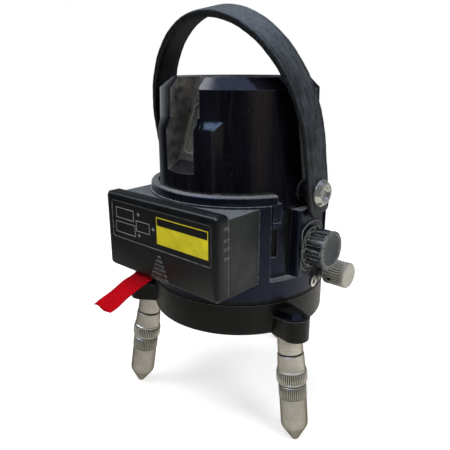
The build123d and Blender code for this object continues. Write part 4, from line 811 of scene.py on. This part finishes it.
class LINELEVEL_OT_stage(bpy.types.Operator):
    """Floor, soft lamps and the camera at the photograph's angle"""

    bl_idname = "linelevel.stage"
    bl_label = "Stage"

    # Name, size and place in metres, and share of the lamp power.
    LAMPS = (
        ("lamp_overhead", (0.9, 0.9), (-0.1, -0.25, 1.3), 1.0),
        ("lamp_right", (0.5, 0.7), (0.95, -0.1, 0.7), 0.6),
        ("lamp_left", (0.5, 0.7), (-0.7, -0.85, 0.6), 0.2),
    )
    # Soft panels: direction from the part, half angle of the bright middle, of the faded rim, and radiance.
    PANELS = (
        ((0.0, 0.05, 1.0), 10, 42, (0.5, 0.6, 1.05)),
        ((-0.07, -0.64, 0.76), 7, 20, (1.8, 2.7, 4.4)),
        ((0.5, 0.86, 0.05), 12, 40, (0.3, 0.32, 0.34)),
        ((-0.94, 0.34, -0.1), 10, 34, (0.36, 0.4, 0.4)),
        ((-0.5, -0.36, 0.78), 10, 20, (5.0, 5.2, 5.4)),
        ((0.93, -0.34, 0.08), 5, 22, (0.26, 0.2, 0.14)),
    )

    def execute(self, context):
        scene = context.scene
        scene.view_settings.view_transform = "Standard"
        self.camera(scene)
        bm = bmesh.new()
        floor_radius = 0.55
        bmesh.ops.create_circle(bm, cap_ends=True, segments=96, radius=floor_radius)
        floor = new_piece("floor", mesh_from(bm, "floor"), self.floor_finish(floor_radius))
        self.world(scene)
        # The lamps light the part; gloss sees only the studio that world() draws.
        part_middle = Vector((0, 0, 0.15))
        for name, (width, height), place, share in self.LAMPS:
            light = bpy.data.lights.new(name, "AREA")
            light.shape = "RECTANGLE"
            light.size = width
            light.size_y = height
            light.energy = share * scene.line_level.lamp_power
            lamp = bpy.data.objects.new(name, light)
            scene.collection.objects.link(lamp)
            lamp.location = place
            lamp.rotation_euler = (part_middle - Vector(place)).to_track_quat("-Z", "Y").to_euler()
            lamp.visible_camera = False
            lamp.visible_glossy = False
        return {"FINISHED"}

    def camera(self, scene):
        """Camera where the photograph was taken from, with its tilt, turn and lens."""
        camera = bpy.data.objects.new("camera", bpy.data.cameras.new("camera"))
        scene.collection.objects.link(camera)
        camera.location = (217.59 * MM, -261.13 * MM, 234.03 * MM)
        camera.rotation_euler = (radians(72.393), 0, radians(41.371))
        camera.data.sensor_width = 36
        camera.data.lens = 40.59
        camera.data.clip_start = 0.01
        scene.camera = camera

    def floor_finish(self, radius):
        """White sheet: white with the part's shadow to the eye, fading away from the part to gloss."""
        material, tree, place = new_finish("sheet_white")
        path = add(tree, "ShaderNodeLightPath").outputs
        away = add(tree, "ShaderNodeVectorMath", {0: place}, operation="LENGTH").outputs["Value"]
        fade = add(tree, "ShaderNodeMapRange", {
            "Value": away, "From Min": 0.38, "From Max": radius, "To Min": 0.7, "To Max": 0.05},
            interpolation_type="SMOOTHSTEP")
        # Gloss sees the sheet brighter to the right of the part and behind it.
        sideways = add(tree, "ShaderNodeVectorMath", {
            0: place, 1: (1.0, 1.0, 0.0)}, operation="DOT_PRODUCT").outputs["Value"]
        lit = add(tree, "ShaderNodeMapRange", {
            "Value": sideways, "From Min": -0.6, "From Max": 0.5, "To Min": 0.2, "To Max": 1.5})
        gloss = add(tree, "ShaderNodeMath", {
            0: fade.outputs["Result"], 1: lit.outputs["Result"]}, operation="MULTIPLY")
        sheet = add(tree, "ShaderNodeBsdfDiffuse", {"Color": linear("#e8e8e8")})
        glow = add(tree, "ShaderNodeEmission", {"Color": linear("#ffffff"), "Strength": 0.62})
        both = add(tree, "ShaderNodeAddShader", {0: sheet.outputs[0], 1: glow.outputs[0]})
        shown = add(tree, "ShaderNodeMixShader", {
            "Fac": path["Is Camera Ray"], 1: sheet.outputs[0], 2: both.outputs[0]})
        mirror = add(tree, "ShaderNodeEmission", {"Color": linear("#fbf8f2"), "Strength": gloss.outputs[0]})
        final = add(tree, "ShaderNodeMixShader", {
            "Fac": path["Is Glossy Ray"], 1: shown.outputs[0], 2: mirror.outputs[0]})
        add(tree, "ShaderNodeOutputMaterial", {"Surface": final.outputs[0]})
        return material

    def world(self, scene):
        """Even soft light; the eye sees white, and gloss sees a dim studio with a few soft panels."""
        world = bpy.data.worlds.new("studio")
        scene.world = world
        world.use_nodes = True
        tree = world.node_tree
        tree.nodes.clear()
        path = add(tree, "ShaderNodeLightPath").outputs
        looks = add(tree, "ShaderNodeTexCoord").outputs["Generated"]
        studio = (0.018, 0.019, 0.03)
        for towards, middle, rim, radiance in self.PANELS:
            near = add(tree, "ShaderNodeVectorMath", {
                0: looks, 1: Vector(towards).normalized()}, operation="DOT_PRODUCT").outputs["Value"]
            shown = add(tree, "ShaderNodeMapRange", {
                "Value": near, "From Min": cos(radians(rim)), "From Max": cos(radians(middle))},
                interpolation_type="SMOOTHSTEP").outputs["Result"]
            studio = add(tree, "ShaderNodeVectorMath", {
                0: shown, 1: radiance, 2: studio}, operation="MULTIPLY_ADD").outputs["Vector"]
        parts = add(tree, "ShaderNodeSeparateXYZ", {"Vector": looks}).outputs
        bearing = add(tree, "ShaderNodeMath", {0: parts["Y"], 1: parts["X"]}, operation="ARCTAN2").outputs[0]
        # Upright streaks a few degrees wide, which a polished barrel shows as fine lines of light.
        bars = add(tree, "ShaderNodeTexNoise", {
            "W": bearing, "Scale": 9.0, "Detail": 3.0, "Roughness": 0.65}, noise_dimensions="1D")
        bars = add(tree, "ShaderNodeMapRange", {
            "Value": bars.outputs["Fac"], "From Min": 0.55, "From Max": 0.75, "To Max": 0.16})
        studio = add(tree, "ShaderNodeVectorMath", {0: bars.outputs["Result"], 1: studio}, operation="ADD")
        shiny = add(tree, "ShaderNodeMath", {
            0: path["Is Glossy Ray"], 1: path["Is Transmission Ray"]}, operation="MAXIMUM").outputs[0]
        even, white = ((0.1, 0.1, 0.1, 1.0), (1.0, 1.0, 1.0, 1.0))
        shade = layered(tree, even, (shiny, studio.outputs["Vector"]), (path["Is Camera Ray"], white))
        light = add(tree, "ShaderNodeBackground", {"Color": shade, "Strength": 1.0})
        add(tree, "ShaderNodeOutputWorld", {"Surface": light.outputs[0]})


class LINELEVEL_OT_base(bpy.types.Operator):
    """Painted base casting with its glossy lug caps and the tripod bush under it"""

    bl_idname = "linelevel.base"
    bl_label = "Base"

    def execute(self, context):
        edge = context.scene.line_level.edge_width
        casting = dressed("base_housing", "base_casting", finish("paint_casting"), 1.4 * edge)
        # The top of the base lies in the shadow of the gap under the band.
        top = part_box("base_housing")[1].z / MM
        paint(casting, finish("abs_shadow"), lambda at, to: to.z > 0.95 and at.z > top - 0.3)
        keep(casting, "base", ["base_housing"])
        keep(dressed("lug_caps", "lug_cap_set", finish("abs_cap"), edge),
             "base", ["lug_caps"])
        keep(dressed("tripod_insert", "tripod_bush", finish("brass_turned"), edge),
             "base", ["tripod_insert"])
        return {"FINISHED"}


class LINELEVEL_OT_legs(bpy.types.Operator):
    """Levelling legs: sleeves, knurled nuts and knurled feet"""

    bl_idname = "linelevel.legs"
    bl_label = "Legs"

    def execute(self, context):
        count = context.scene.line_level.leg_ridges
        for side in SIDES:
            place = leg_place(side)
            keep(self.sleeve(side, place), "base", [f"leg_sleeve_{side}"])
            keep(self.nut(side, place, count), f"nut_{side}", [f"leg_nut_{side}"])
            keep(self.foot(side, place, count), f"foot_{side}", [f"leg_foot_{side}"])
        return {"FINISHED"}

    def span(self, node, place):
        """A node's least and greatest distance along a placed axis, in millimetres."""
        back = place.inverted()
        along = [(back @ vert.co).z / MM for vert in frame["nodes"][node].data.vertices]
        return min(along), max(along)

    def sleeve(self, side, place):
        """Smooth sleeve, narrower below, where the nut runs over it."""
        low = self.span(f"leg_sleeve_{side}", place)[0]
        seal = 0.8
        shoulder = self.span(f"leg_nut_{side}", place)[1] + seal
        top, radius, narrow, bevel = (84.4, 8.0, 6.2, 0.3)
        return lathe(f"sleeve_{side}", [
            (0, low), (narrow, low), (narrow, shoulder), (radius - bevel, shoulder),
            (radius, shoulder + bevel), (radius, top), (0, top)], place, finish("nickel_turned"))

    def nut(self, side, place, count):
        """Nut with a knurled band, a collar over it and a tapered skirt up to the seal."""
        # The knurl's floor is darker: dirt, and painted shade between the ridges.
        metal, groove = (finish("nickel_turned"), finish("nickel_groove_dirt_and_shade"))
        low, high = self.span(f"leg_nut_{side}", place)
        bore, cup, knurl, collar, skirt_foot, skirt_top = (4.1, 6.3, 9.1, 9.35, 8.8, 8.45)
        knurl_low, knurl_high, cup_floor = (low + 1.6, low + 8.2, low + 9.8)
        bevel = 0.5
        body = lathe("nut_body", [
            (bore, low + bevel), (bore + 0.4, low), (knurl - bevel, low), (knurl + 0.1, low + bevel),
            (knurl + 0.2, knurl_low - 0.3), (knurl, knurl_low, 1), (knurl + 0.05, knurl_high),
            (collar, knurl_high + 0.3), (collar, knurl_high + 1.3), (collar - 0.4, knurl_high + 1.7),
            (skirt_foot, knurl_high + 2.4), (skirt_top, high - bevel), (skirt_top - 0.3, high), (cup, high),
            (cup, cup_floor), (bore, cup_floor), (bore, low + bevel)], place, metal, groove)
        ridges = from_tree(
            "nut_ridges", ridge_tree(), place, metal, count=count, Radius=knurl + 0.15, Width=0.95,
            Rise=0.62, Length=knurl_high - knurl_low - 0.1, Start=(knurl_low + knurl_high) / 2)
        return joined(f"nut_{side}", [body, ridges])

    def foot(self, side, place, count):
        """Pointed foot with a knurled band and a stud, whose pitch is the nut's travel in one turn."""
        # The knurl's floor is darker: dirt, and painted shade between the ridges.
        worn, groove = (finish("nickel_worn"), finish("nickel_groove_dirt_and_shade"))
        radius, tip, bend, shoulder = (8.7, 2.8, 6.5, 13.2)
        top = self.span(f"leg_nut_{side}", place)[0] - 0.8
        knurl, knurl_low, knurl_high = (8.45, 31.0, top - 0.8)
        outline = [
            *arc((0, tip), tip, -90, -27, 4), *arc((radius - bend, shoulder), bend, -32, 0, 3),
            (radius, knurl_low - 0.5), (knurl, knurl_low, 1), (knurl, knurl_high), (knurl + 0.1, top - 0.4),
            (knurl - 0.25, top)]
        pitch, turns, crest, root = (1.25, 16, 4.0, 3.4)
        thread, stud_top = (top + 1.0, self.span(f"leg_foot_{side}", place)[1])
        outline.append((crest, top))
        for turn in range(turns):
            outline += [(crest, thread + pitch * turn), (root, thread + pitch * (turn + 0.5))]
        outline += [(crest, stud_top - 0.6), (crest, stud_top), (0, stud_top)]
        ridges = from_tree(
            "foot_ridges", ridge_tree(), place, worn, count=count, Radius=knurl + 0.05, Width=0.95, Rise=0.5,
            Length=7.6, Start=knurl_low + 4.0)
        return joined(f"foot_{side}", [lathe("foot_body", outline, place, worn, groove), ridges])


class LINELEVEL_OT_housings(bpy.types.Operator):
    """Satin band, polished barrel, the window with its bead, and the socket"""

    bl_idname = "linelevel.housings"
    bl_label = "Housings"

    def execute(self, context):
        edge = context.scene.line_level.edge_width
        # The foot of the band lies in the shadow of the gap over the base.
        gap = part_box("lower_housing")[0].z + 2.0 * MM
        band = dressed("lower_housing", "housing_band", finish("abs_satin"), edge, cut=gap)
        paint(band, finish("abs_shadow"), lambda at, to: at.z < gap / MM)
        keep(band, "turret", ["lower_housing"])
        keep(self.barrel(edge), "turret", ["upper_housing"])
        keep(dressed("window_glass", "window_sheet", finish("acrylic_cast_clear"), 0.5 * edge),
             "turret", ["window_glass"])
        keep(dressed("side_socket", "socket_ring", finish("nickel_plate"), 0.5 * edge),
             "turret", ["side_socket"])
        keep(self.bead(), "turret")
        return {"FINISHED"}

    def barrel(self, edge):
        """Upper housing: polished above the side pads' tops and satin below, dusty inside its front slot."""
        pad_top = 150.4
        piece = dressed("upper_housing", "housing_barrel", finish("abs_polished"), edge, cut=pad_top * MM)
        low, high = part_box("window_glass")
        slot_half = (high.x - low.x) / 2 / MM + 1.2
        slot_foot = low.z / MM - 4
        slot_rim = 52
        paint(piece, finish("abs_dusty"), lambda at, to: (
            abs(at.x) < slot_half and at.y < 0 and at.z > slot_foot and at.xy.length < slot_rim
            and (abs(to.x) > 0.6 or to.z > 0.3)))
        paint(piece, finish("abs_satin"), lambda at, to: at.z < pad_top)
        # Painted shade: the insides of the latch slots beside the battery box are painted black.
        latch_low, latch_high, latch_mouth = (121, 139, 53.4)
        paint(piece, finish("abs_shadow"), lambda at, to: (
            latch_low < at.z < latch_high and at.y < 0 and at.xy.length < latch_mouth))
        return piece

    def bead(self):
        """Rubber bead that lies on the leaning window, a little inside its edges."""
        low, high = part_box("window_glass")
        lean = radians(22.0)
        place = Matrix.Rotation(pi / 2 - lean, 4, "X")
        outward = place.to_3x3() @ Vector((0, 0, 1))
        place.translation = (low + high) / 2 + outward * 1.3 * MM
        return from_tree("window_bead", bead_tree(), place, finish("rubber_bead"),
                         Width=17.2, Height=31.2, Corner=3.6, Radius=0.5)


class LINELEVEL_OT_battery_box(bpy.types.Operator):
    """Battery box, its sliding cover and the plain stickers on it"""

    bl_idname = "linelevel.battery_box"
    bl_label = "Battery box"

    # Stickers in millimetres, as left, right, low and high.
    FILM = (-44.1, 41.5, 128.0, 151.0)
    CELL_OUTLINES = (
        (-41.1, -23.6, 140.6, 147.6), (-41.8, -22.6, 130.9, 138.3), (-21.5, -8.9, 135.1, 142.1))
    GROUND = (-2.5, 39.6, 131.2, 148.0)
    BAND = (-1.9, 39.0, 142.9, 147.4)
    # Middles of the plus marks.
    PLUS_MARKS = ((-19.1, 146.1), (-5.6, 139.4), (-19.1, 132.6))

    def execute(self, context):
        edge = context.scene.line_level.edge_width
        keep(dressed("battery_box", "box_shell", finish("abs_grained"), edge),
             "turret", ["battery_box"])
        keep(dressed("battery_cover", "cover_shell", finish("abs_handled"), angle=50.0),
             "cover", ["battery_cover"])
        keep(self.stickers(), "cover")
        return {"FINISHED"}

    def stickers(self):
        """Film in the cover's panel, battery outlines with plus marks, and a plain two-colour sticker."""
        bar_rise, panel_sink = (0.5 * MM, 0.5 * MM)
        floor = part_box("battery_cover")[0].y + bar_rise + panel_sink
        film, ink, ground, band = range(4)
        thickness = {film: 0.05 * MM, ink: 0.1 * MM, ground: 0.1 * MM, band: 0.16 * MM}
        bm = bmesh.new()

        def tile(material, left, right, low, high):
            corners = [(left, low), (right, low), (right, high), (left, high)]
            front, back = (
                [bm.verts.new((x * MM, y, z * MM)) for x, z in corners]
                for y in (floor - thickness[material], floor))
            faces = [bm.faces.new(front), bm.faces.new(back[::-1])]
            for i in range(4):
                j = (i + 1) % 4
                faces.append(bm.faces.new([front[j], front[i], back[i], back[j]]))
            for made in faces:
                made.material_index = material

        tile(film, *self.FILM)
        line = 0.42
        for left, right, low, high in self.CELL_OUTLINES:
            tile(ink, left, right, high - line, high)
            tile(ink, left, right, low, low + line)
            tile(ink, left, left + line, low + line, high - line)
            tile(ink, right - line, right, low + line, high - line)
        arm, half = (1.2, 0.3)
        for x, z in self.PLUS_MARKS:
            tile(ink, x - arm, x + arm, z - half, z + half)
            tile(ink, x - half, x + half, z - arm, z - half)
            tile(ink, x - half, x + half, z + half, z + arm)
        tile(ground, *self.GROUND)
        tile(band, *self.BAND)
        bmesh.ops.recalc_face_normals(bm, faces=bm.faces)
        return new_piece("cover_stickers", mesh_from(bm, "cover_stickers"), finish("sticker_film"),
                         finish("ink_pale"), finish("sticker_ground"), finish("sticker_band"))


class LINELEVEL_OT_ribbon(bpy.types.Operator):
    """Woven pull ribbon that lifts the cells out"""

    bl_idname = "linelevel.ribbon"
    bl_label = "Pull ribbon"

    # The ribbon's route as y and z in millimetres, from behind the lowest cell to its free end.
    ROUTE = (
        (-56.4, 122.4), (-56.4, 113.0), (-56.4, 108.8), (-60.5, 108.8), (-66.5, 108.8), (-69.9, 108.6),
        (-70.9, 105.9), (-73.5, 104.6), (-80.5, 103.0), (-88.0, 100.4), (-97.0, 97.2), (-104.4, 94.5))

    def execute(self, context):
        width = context.scene.line_level.ribbon_width
        piece, length = self.cloth(self.path(context), width)
        keep(piece, "turret", ["pull_ribbon"])
        return {"FINISHED"}

    def path(self, context):
        """Points along a smooth curve over the route, in the middle of the ribbon."""
        low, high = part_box("pull_ribbon")
        curve = bpy.data.curves.new("ribbon_route", "CURVE")
        curve.dimensions = "3D"
        spline = curve.splines.new("NURBS")
        spline.points.add(len(self.ROUTE) - 1)
        for point, (y, z) in zip(spline.points, self.ROUTE):
            point.co = ((low.x + high.x) / 2, y * MM, z * MM, 1)
        spline.use_endpoint_u = True
        spline.order_u = 3
        spline.resolution_u = 8
        guide = bpy.data.objects.new("ribbon_route", curve)
        context.scene.collection.objects.link(guide)
        context.view_layer.update()
        line = bpy.data.meshes.new_from_object(guide)
        points = [vert.co.copy() for vert in line.vertices]
        bpy.data.objects.remove(guide)
        bpy.data.meshes.remove(line)
        bpy.data.curves.remove(curve)
        return points

    def cloth(self, path, width):
        """Cloth along a path, with waves that grow towards its free end, and its length."""
        mouth_y, free_length = (-73 * MM, 30 * MM)
        columns = 14
        bm = bmesh.new()
        uv = bm.loops.layers.uv.new("weave")
        rows = []
        run = 0.0
        for point, before in zip(path, [path[0], *path]):
            run += (point - before).length
            free = min(1.0, max(0.0, (mouth_y - point.y) / free_length))
            row = []
            for k in range(columns + 1):
                s = 2 * k / columns - 1
                wave = 0.6 * s * s + 0.7 * sin(3.0 * s + run / (7 * MM))
                wave += 0.4 * sin(5.0 * s - run / (3.1 * MM))
                vert = bm.verts.new((point.x + s * width / 2, point.y, point.z + wave * free * MM))
                row.append((vert, (s * width / 2, run)))
            rows.append(row)
        for first, second in zip(rows, rows[1:]):
            for k in range(columns):
                four = [first[k], first[k + 1], second[k + 1], second[k]]
                made = bm.faces.new([vert for vert, _ in four])
                made.smooth = True
                for loop, (_, place) in zip(made.loops, four):
                    loop[uv].uv = place
        bmesh.ops.recalc_face_normals(bm, faces=bm.faces)
        piece = new_piece("ribbon_cloth", mesh_from(bm, "ribbon_cloth"), finish("polyester_woven_red"))
        cloth = piece.modifiers.new("cloth", "SOLIDIFY")
        cloth.thickness = 0.3 * MM
        cloth.offset = 0
        plain_mesh(piece)
        return piece, run


class LINELEVEL_OT_strap(bpy.types.Operator):
    """Leather carry strap and its plated rivets"""

    bl_idname = "linelevel.strap"
    bl_label = "Carry strap"

    # Right half of the strap's section: shares of half width and of thickness, and 1 on the outer face.
    SECTION = (
        (0.5, 0.0, 0), (0.93, 0.0, 0), (0.985, 0.1, 0), (1.0, 0.25, 0), (1.0, 0.72, 0), (0.975, 0.92, 1),
        (0.93, 0.99, 1), (0.83, 1.0, 1), (0.8, 0.97, 1), (0.775, 0.9, 1), (0.75, 0.97, 1), (0.72, 1.0, 1),
        (0.36, 1.0, 1))

    def execute(self, context):
        settings = context.scene.line_level
        keep(self.strap(settings.strap_width), "strap", ["carry_strap"])
        keep(dressed("strap_rivets", "rivet_pair", finish("nickel_plate"), 0.8 * settings.edge_width),
             "turret", ["strap_rivets"])
        return {"FINISHED"}

    def stations(self):
        """Points along the strap's outer and inner face, across the part and up from the rivets."""
        half, thick, crown, bow = (64.0 * MM, 3.2 * MM, 4.6 * MM, -1.5 * MM)
        straight, top, tail = (30.0 * MM, 79.0 * MM, 14.0 * MM)
        legs, arch = (24, 120)
        up = [(straight + tail) * i / legs - tail for i in range(legs)]
        right = [(Vector((half, rise)), Vector((half - thick, rise))) for rise in up]
        over = []
        for i in range(arch + 1):
            turn = pi * i / arch
            # The top of the arch hangs a little to the left.
            reach = half - bow if i < arch / 2 else half + bow
            over.append((Vector((bow + reach * cos(turn), straight + top * sin(turn))),
                         Vector((bow + (reach - thick) * cos(turn), straight + (top - crown) * sin(turn)))))
        left = [(Vector((-out.x, out.y)), Vector((-inn.x, inn.y))) for out, inn in reversed(right)]
        return right + over + left

    def strap(self, width):
        """Strap swept over its arch, with two pressed lines near its edges."""
        lean = radians(12.4)
        rise = Vector((0, -sin(lean), cos(lean)))
        wide = Vector((0, -cos(lean), -sin(lean)))
        pivot = Vector(joint("strap_swing")["pos_m"])
        mirrored = [(-s, t, face) for s, t, face in reversed(self.SECTION)]
        section = [(0.0, 0.0, 0), *self.SECTION, (0.0, 1.0, 1), *mirrored]
        stations = self.stations()
        bm = bmesh.new()
        across, along, outer = (bm.verts.layers.float.new(name) for name in ("across", "along", "outer"))
        rings = []
        run = 0.0
        for i, (out, inn) in enumerate(stations):
            run += (out - stations[max(0, i - 1)][0]).length
            # The ends are rounded over five stations, and the cut edges waver a little.
            end = min(1.0, min(i, len(stations) - 1 - i) / 5)
            narrow = 0.72 + 0.28 * (1 - (1 - end) ** 2) ** 0.5
            waver = 0.012 * sin(i * 0.61) + 0.008 * sin(i * 1.73 + 1) - 0.012
            ring = []
            for s, t, face in section:
                place = inn.lerp(out, t)
                side = s * (narrow + waver) * width / 2
                vert = bm.verts.new(pivot + Vector((place.x, 0, 0)) + rise * place.y + wide * side)
                vert[across] = s
                vert[along] = run
                vert[outer] = face
                ring.append(vert)
            rings.append(ring)
        count = len(section)
        for first, second in zip(rings, rings[1:]):
            for k in range(count):
                j = (k + 1) % count
                bm.faces.new([first[k], first[j], second[j], second[k]]).smooth = True
        bm.faces.new(rings[0])
        bm.faces.new(rings[-1][::-1])
        bmesh.ops.recalc_face_normals(bm, faces=bm.faces)
        mesh = mesh_from(bm, "strap_leather")
        mesh.set_sharp_from_angle(angle=radians(60))
        return new_piece("strap_leather", mesh, finish("leather_grain_dyed"))


class LINELEVEL_OT_knobs(bpy.types.Operator):
    """Ribbed power knob on its dial plate, and the knurled fine turning knob"""

    bl_idname = "linelevel.knobs"
    bl_label = "Knobs"

    def execute(self, context):
        settings = context.scene.line_level
        place = side_place("power_knob")
        keep(self.power_grip(place, settings.knob_ribs), "knob", ["power_knob"])
        keep(self.power_face(place), "knob", ["knob_cap"])
        dial = dressed("dial_plate", "dial_disc", finish("abs_dial"), 1.2 * settings.edge_width)
        # Painted highlight: the faces of the plate's rounded rim get a paler finish.
        paint(dial, finish("abs_dial_rim_highlight"), lambda at, to: 0.1 < to.x < 0.95)
        keep(dial, "turret", ["dial_plate"])
        keep(self.fine_grip(settings.fine_ridges), "fine_drive", ["fine_knob"])
        return {"FINISHED"}

    def power_grip(self, place, count):
        """Ribbed knob on a flange, with a toothed rim around the well of its face."""
        # The nylon finish lays a painted highlight along the crests of the ribs.
        nylon = finish("nylon_knob")
        bore, core, flange, rim, well = (3.1, 10.9, 13.4, 12.1, 9.6)
        well_floor, top, bevel = (12.5, 13.8, 0.4)
        body = lathe("knob_core", [
            (bore, 0), (flange - bevel, 0), (flange, 0.35), (flange, 1.05), (flange - bevel, 1.4),
            (core, 1.6), (core, top - 1.7), (rim - bevel, top - 1.3), (rim, top - 0.8), (rim, top - bevel),
            (rim - bevel, top), (well + 0.3, top), (well, top - 0.3), (well, well_floor), (bore, well_floor),
            (bore, 0)], place, nylon, segments=96)
        ribs = from_tree("knob_ribs", ridge_tree(), place, nylon, count=count,
                         Radius=core, Width=3.0, Rise=1.25, Length=12.6, Start=6.9)
        teeth = from_tree("rim_teeth", ridge_tree(), place, finish("abs_knob_face"), count=2 * count,
                          Radius=core + 0.1, Width=1.6, Rise=1.15, Length=1.8, Start=top - 0.7)
        return joined("knob_grip", [body, ribs, teeth])

    def power_face(self, place):
        """Dished disc in the knob's well."""
        radius, foot, top, floor, rim = (9.5, 12.4, 13.5, 12.6, 8.7)
        bevel = 0.3
        dish = [(r, floor + (top - floor) * (r / rim) ** 2.6) for r in (rim, 8.1, 6.5, 4.5, 2.0, 0)]
        return lathe("knob_face", [
            (0, foot), (radius, foot), (radius, top - bevel), (radius - bevel, top), *dish],
            place, finish("abs_knob_face"), segments=96)

    def fine_grip(self, count):
        """Fine turning knob with its ridges, a smooth rim, and a black disc of painted shade where the set
        screw's hole is.
        """
        low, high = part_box("fine_knob")
        place = side_place("fine_knob")
        length, radius = ((high.x - low.x) / MM, (high.z - low.z) / 2 / MM)
        bore, bevel, rim, face = (2.1, 0.8, 3.4, 4.0)
        groove = radius - 0.5
        satin = finish("nickel_satin")
        # The band under the ridges is darker: dirt, and painted shade between them.
        body = lathe("grip_body", [
            (bore, 0), (radius - bevel, 0), (radius - 0.1, bevel), (groove, 1.0, 1),
            (groove, length - rim - 0.2), (radius, length - rim), (radius, length - bevel),
            (radius - bevel, length), (0, length), (0, length - face), (bore, length - face), (bore, 0)],
            place, satin, finish("nickel_groove_dirt_and_shade"))
        # The ridges are 0.9 mm apart; they are drawn twice as far apart so that they show.
        ridges = from_tree("grip_ridges", ridge_tree(), place, satin, count=count, Radius=groove,
                           Width=1.3, Rise=0.48, Length=length - 4.4, Start=(length - 2.6) / 2)
        screw = sum(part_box("fine_set_screw"), Vector()) / 2
        outward = screw - Vector((screw.x, place.translation.y, place.translation.z))
        mouth = outward.to_track_quat("Z", "X").to_matrix().to_4x4()
        mouth.translation = screw - outward
        # Painted shade: a short black plug, its end a hair proud of the knob, stands where the set screw's
        # hole is.
        hole, sunk, proud = (1.3, radius - 1.0, radius + 0.02)
        dark = lathe("screw_hole_shade", [(0, sunk), (hole, sunk), (hole, proud), (0, proud)], mouth,
                     finish("abs_shadow"), segments=20)
        return joined("fine_grip", [body, ridges, dark])


class LINELEVEL_OT_inside(bpy.types.Operator):
    """Finishes of the pieces inside: optics, pendulum, damper, drive, cells and board"""

    bl_idname = "linelevel.inside"
    bl_label = "Inside pieces"

    # Nodes that keep their CAD shape, by the finish that they get.
    NODES = {
        "steel_ground": (
            "pivot_post", "post_nut", "knob_shaft", "worm_shaft", "fine_set_screw", "bracket_bearings",
            "ring_bearings", "damper_magnets"),
        "acetal_white": ("thrust_washer",),
        "brass_turned": ("worm_wheel", "laser_module", "pendulum_frame"),
        "rubber_seal": ("leg_seals", "lock_pad"),
        "pvc_sleeve": ("battery_cell_top", "battery_cell_middle", "battery_cell_bottom"),
        "nickel_plate": ("battery_contacts", "fine_bushing"),
        "phenolic_switch": ("rotary_switch",),
        "aluminium_milled": ("damper_bar", "gimbal_bracket", "gimbal_ring", "damper_disc"),
        "glass_ground_clear": ("line_lens",),
        "fibre_board_resist": ("circuit_board",),
    }

    def execute(self, context):
        edge = context.scene.line_level.edge_width
        keep(dressed("lens_mount", "lens_holder", finish("acetal_cream"), edge),
             "pendulum", ["lens_mount"])
        for name, nodes in self.NODES.items():
            for node in nodes:
                mesh = frame["nodes"][node].data
                mesh.materials.clear()
                mesh.materials.append(finish(name))
        return {"FINISHED"}


class LINELEVEL_PT_sidebar(bpy.types.Panel):
    """Settings and pieces of the line laser level"""

    bl_idname = "LINELEVEL_PT_sidebar"
    bl_label = "Line laser level"
    bl_space_type = "VIEW_3D"
    bl_region_type = "UI"
    bl_category = "Line level"

    def draw(self, context):
        settings = context.scene.line_level
        for name in LineLevelSettings.__annotations__:
            self.layout.prop(settings, name)
        for piece in PIECES:
            self.layout.operator(piece.bl_idname)


PIECES = (
    LINELEVEL_OT_stage, LINELEVEL_OT_base, LINELEVEL_OT_legs, LINELEVEL_OT_housings,
    LINELEVEL_OT_battery_box, LINELEVEL_OT_ribbon, LINELEVEL_OT_strap, LINELEVEL_OT_knobs,
    LINELEVEL_OT_inside)
CLASSES = (LineLevelSettings, *PIECES, LINELEVEL_PT_sidebar)


def register():
    for item in CLASSES:
        bpy.utils.register_class(item)
    bpy.types.Scene.line_level = PointerProperty(type=LineLevelSettings)


def unregister():
    del bpy.types.Scene.line_level
    for item in reversed(CLASSES):
        bpy.utils.unregister_class(item)


def main():
    register()
    for piece in PIECES:
        group, name = piece.bl_idname.split(".")
        getattr(getattr(bpy.ops, group), name)()


if __name__ == "__main__":
    main()
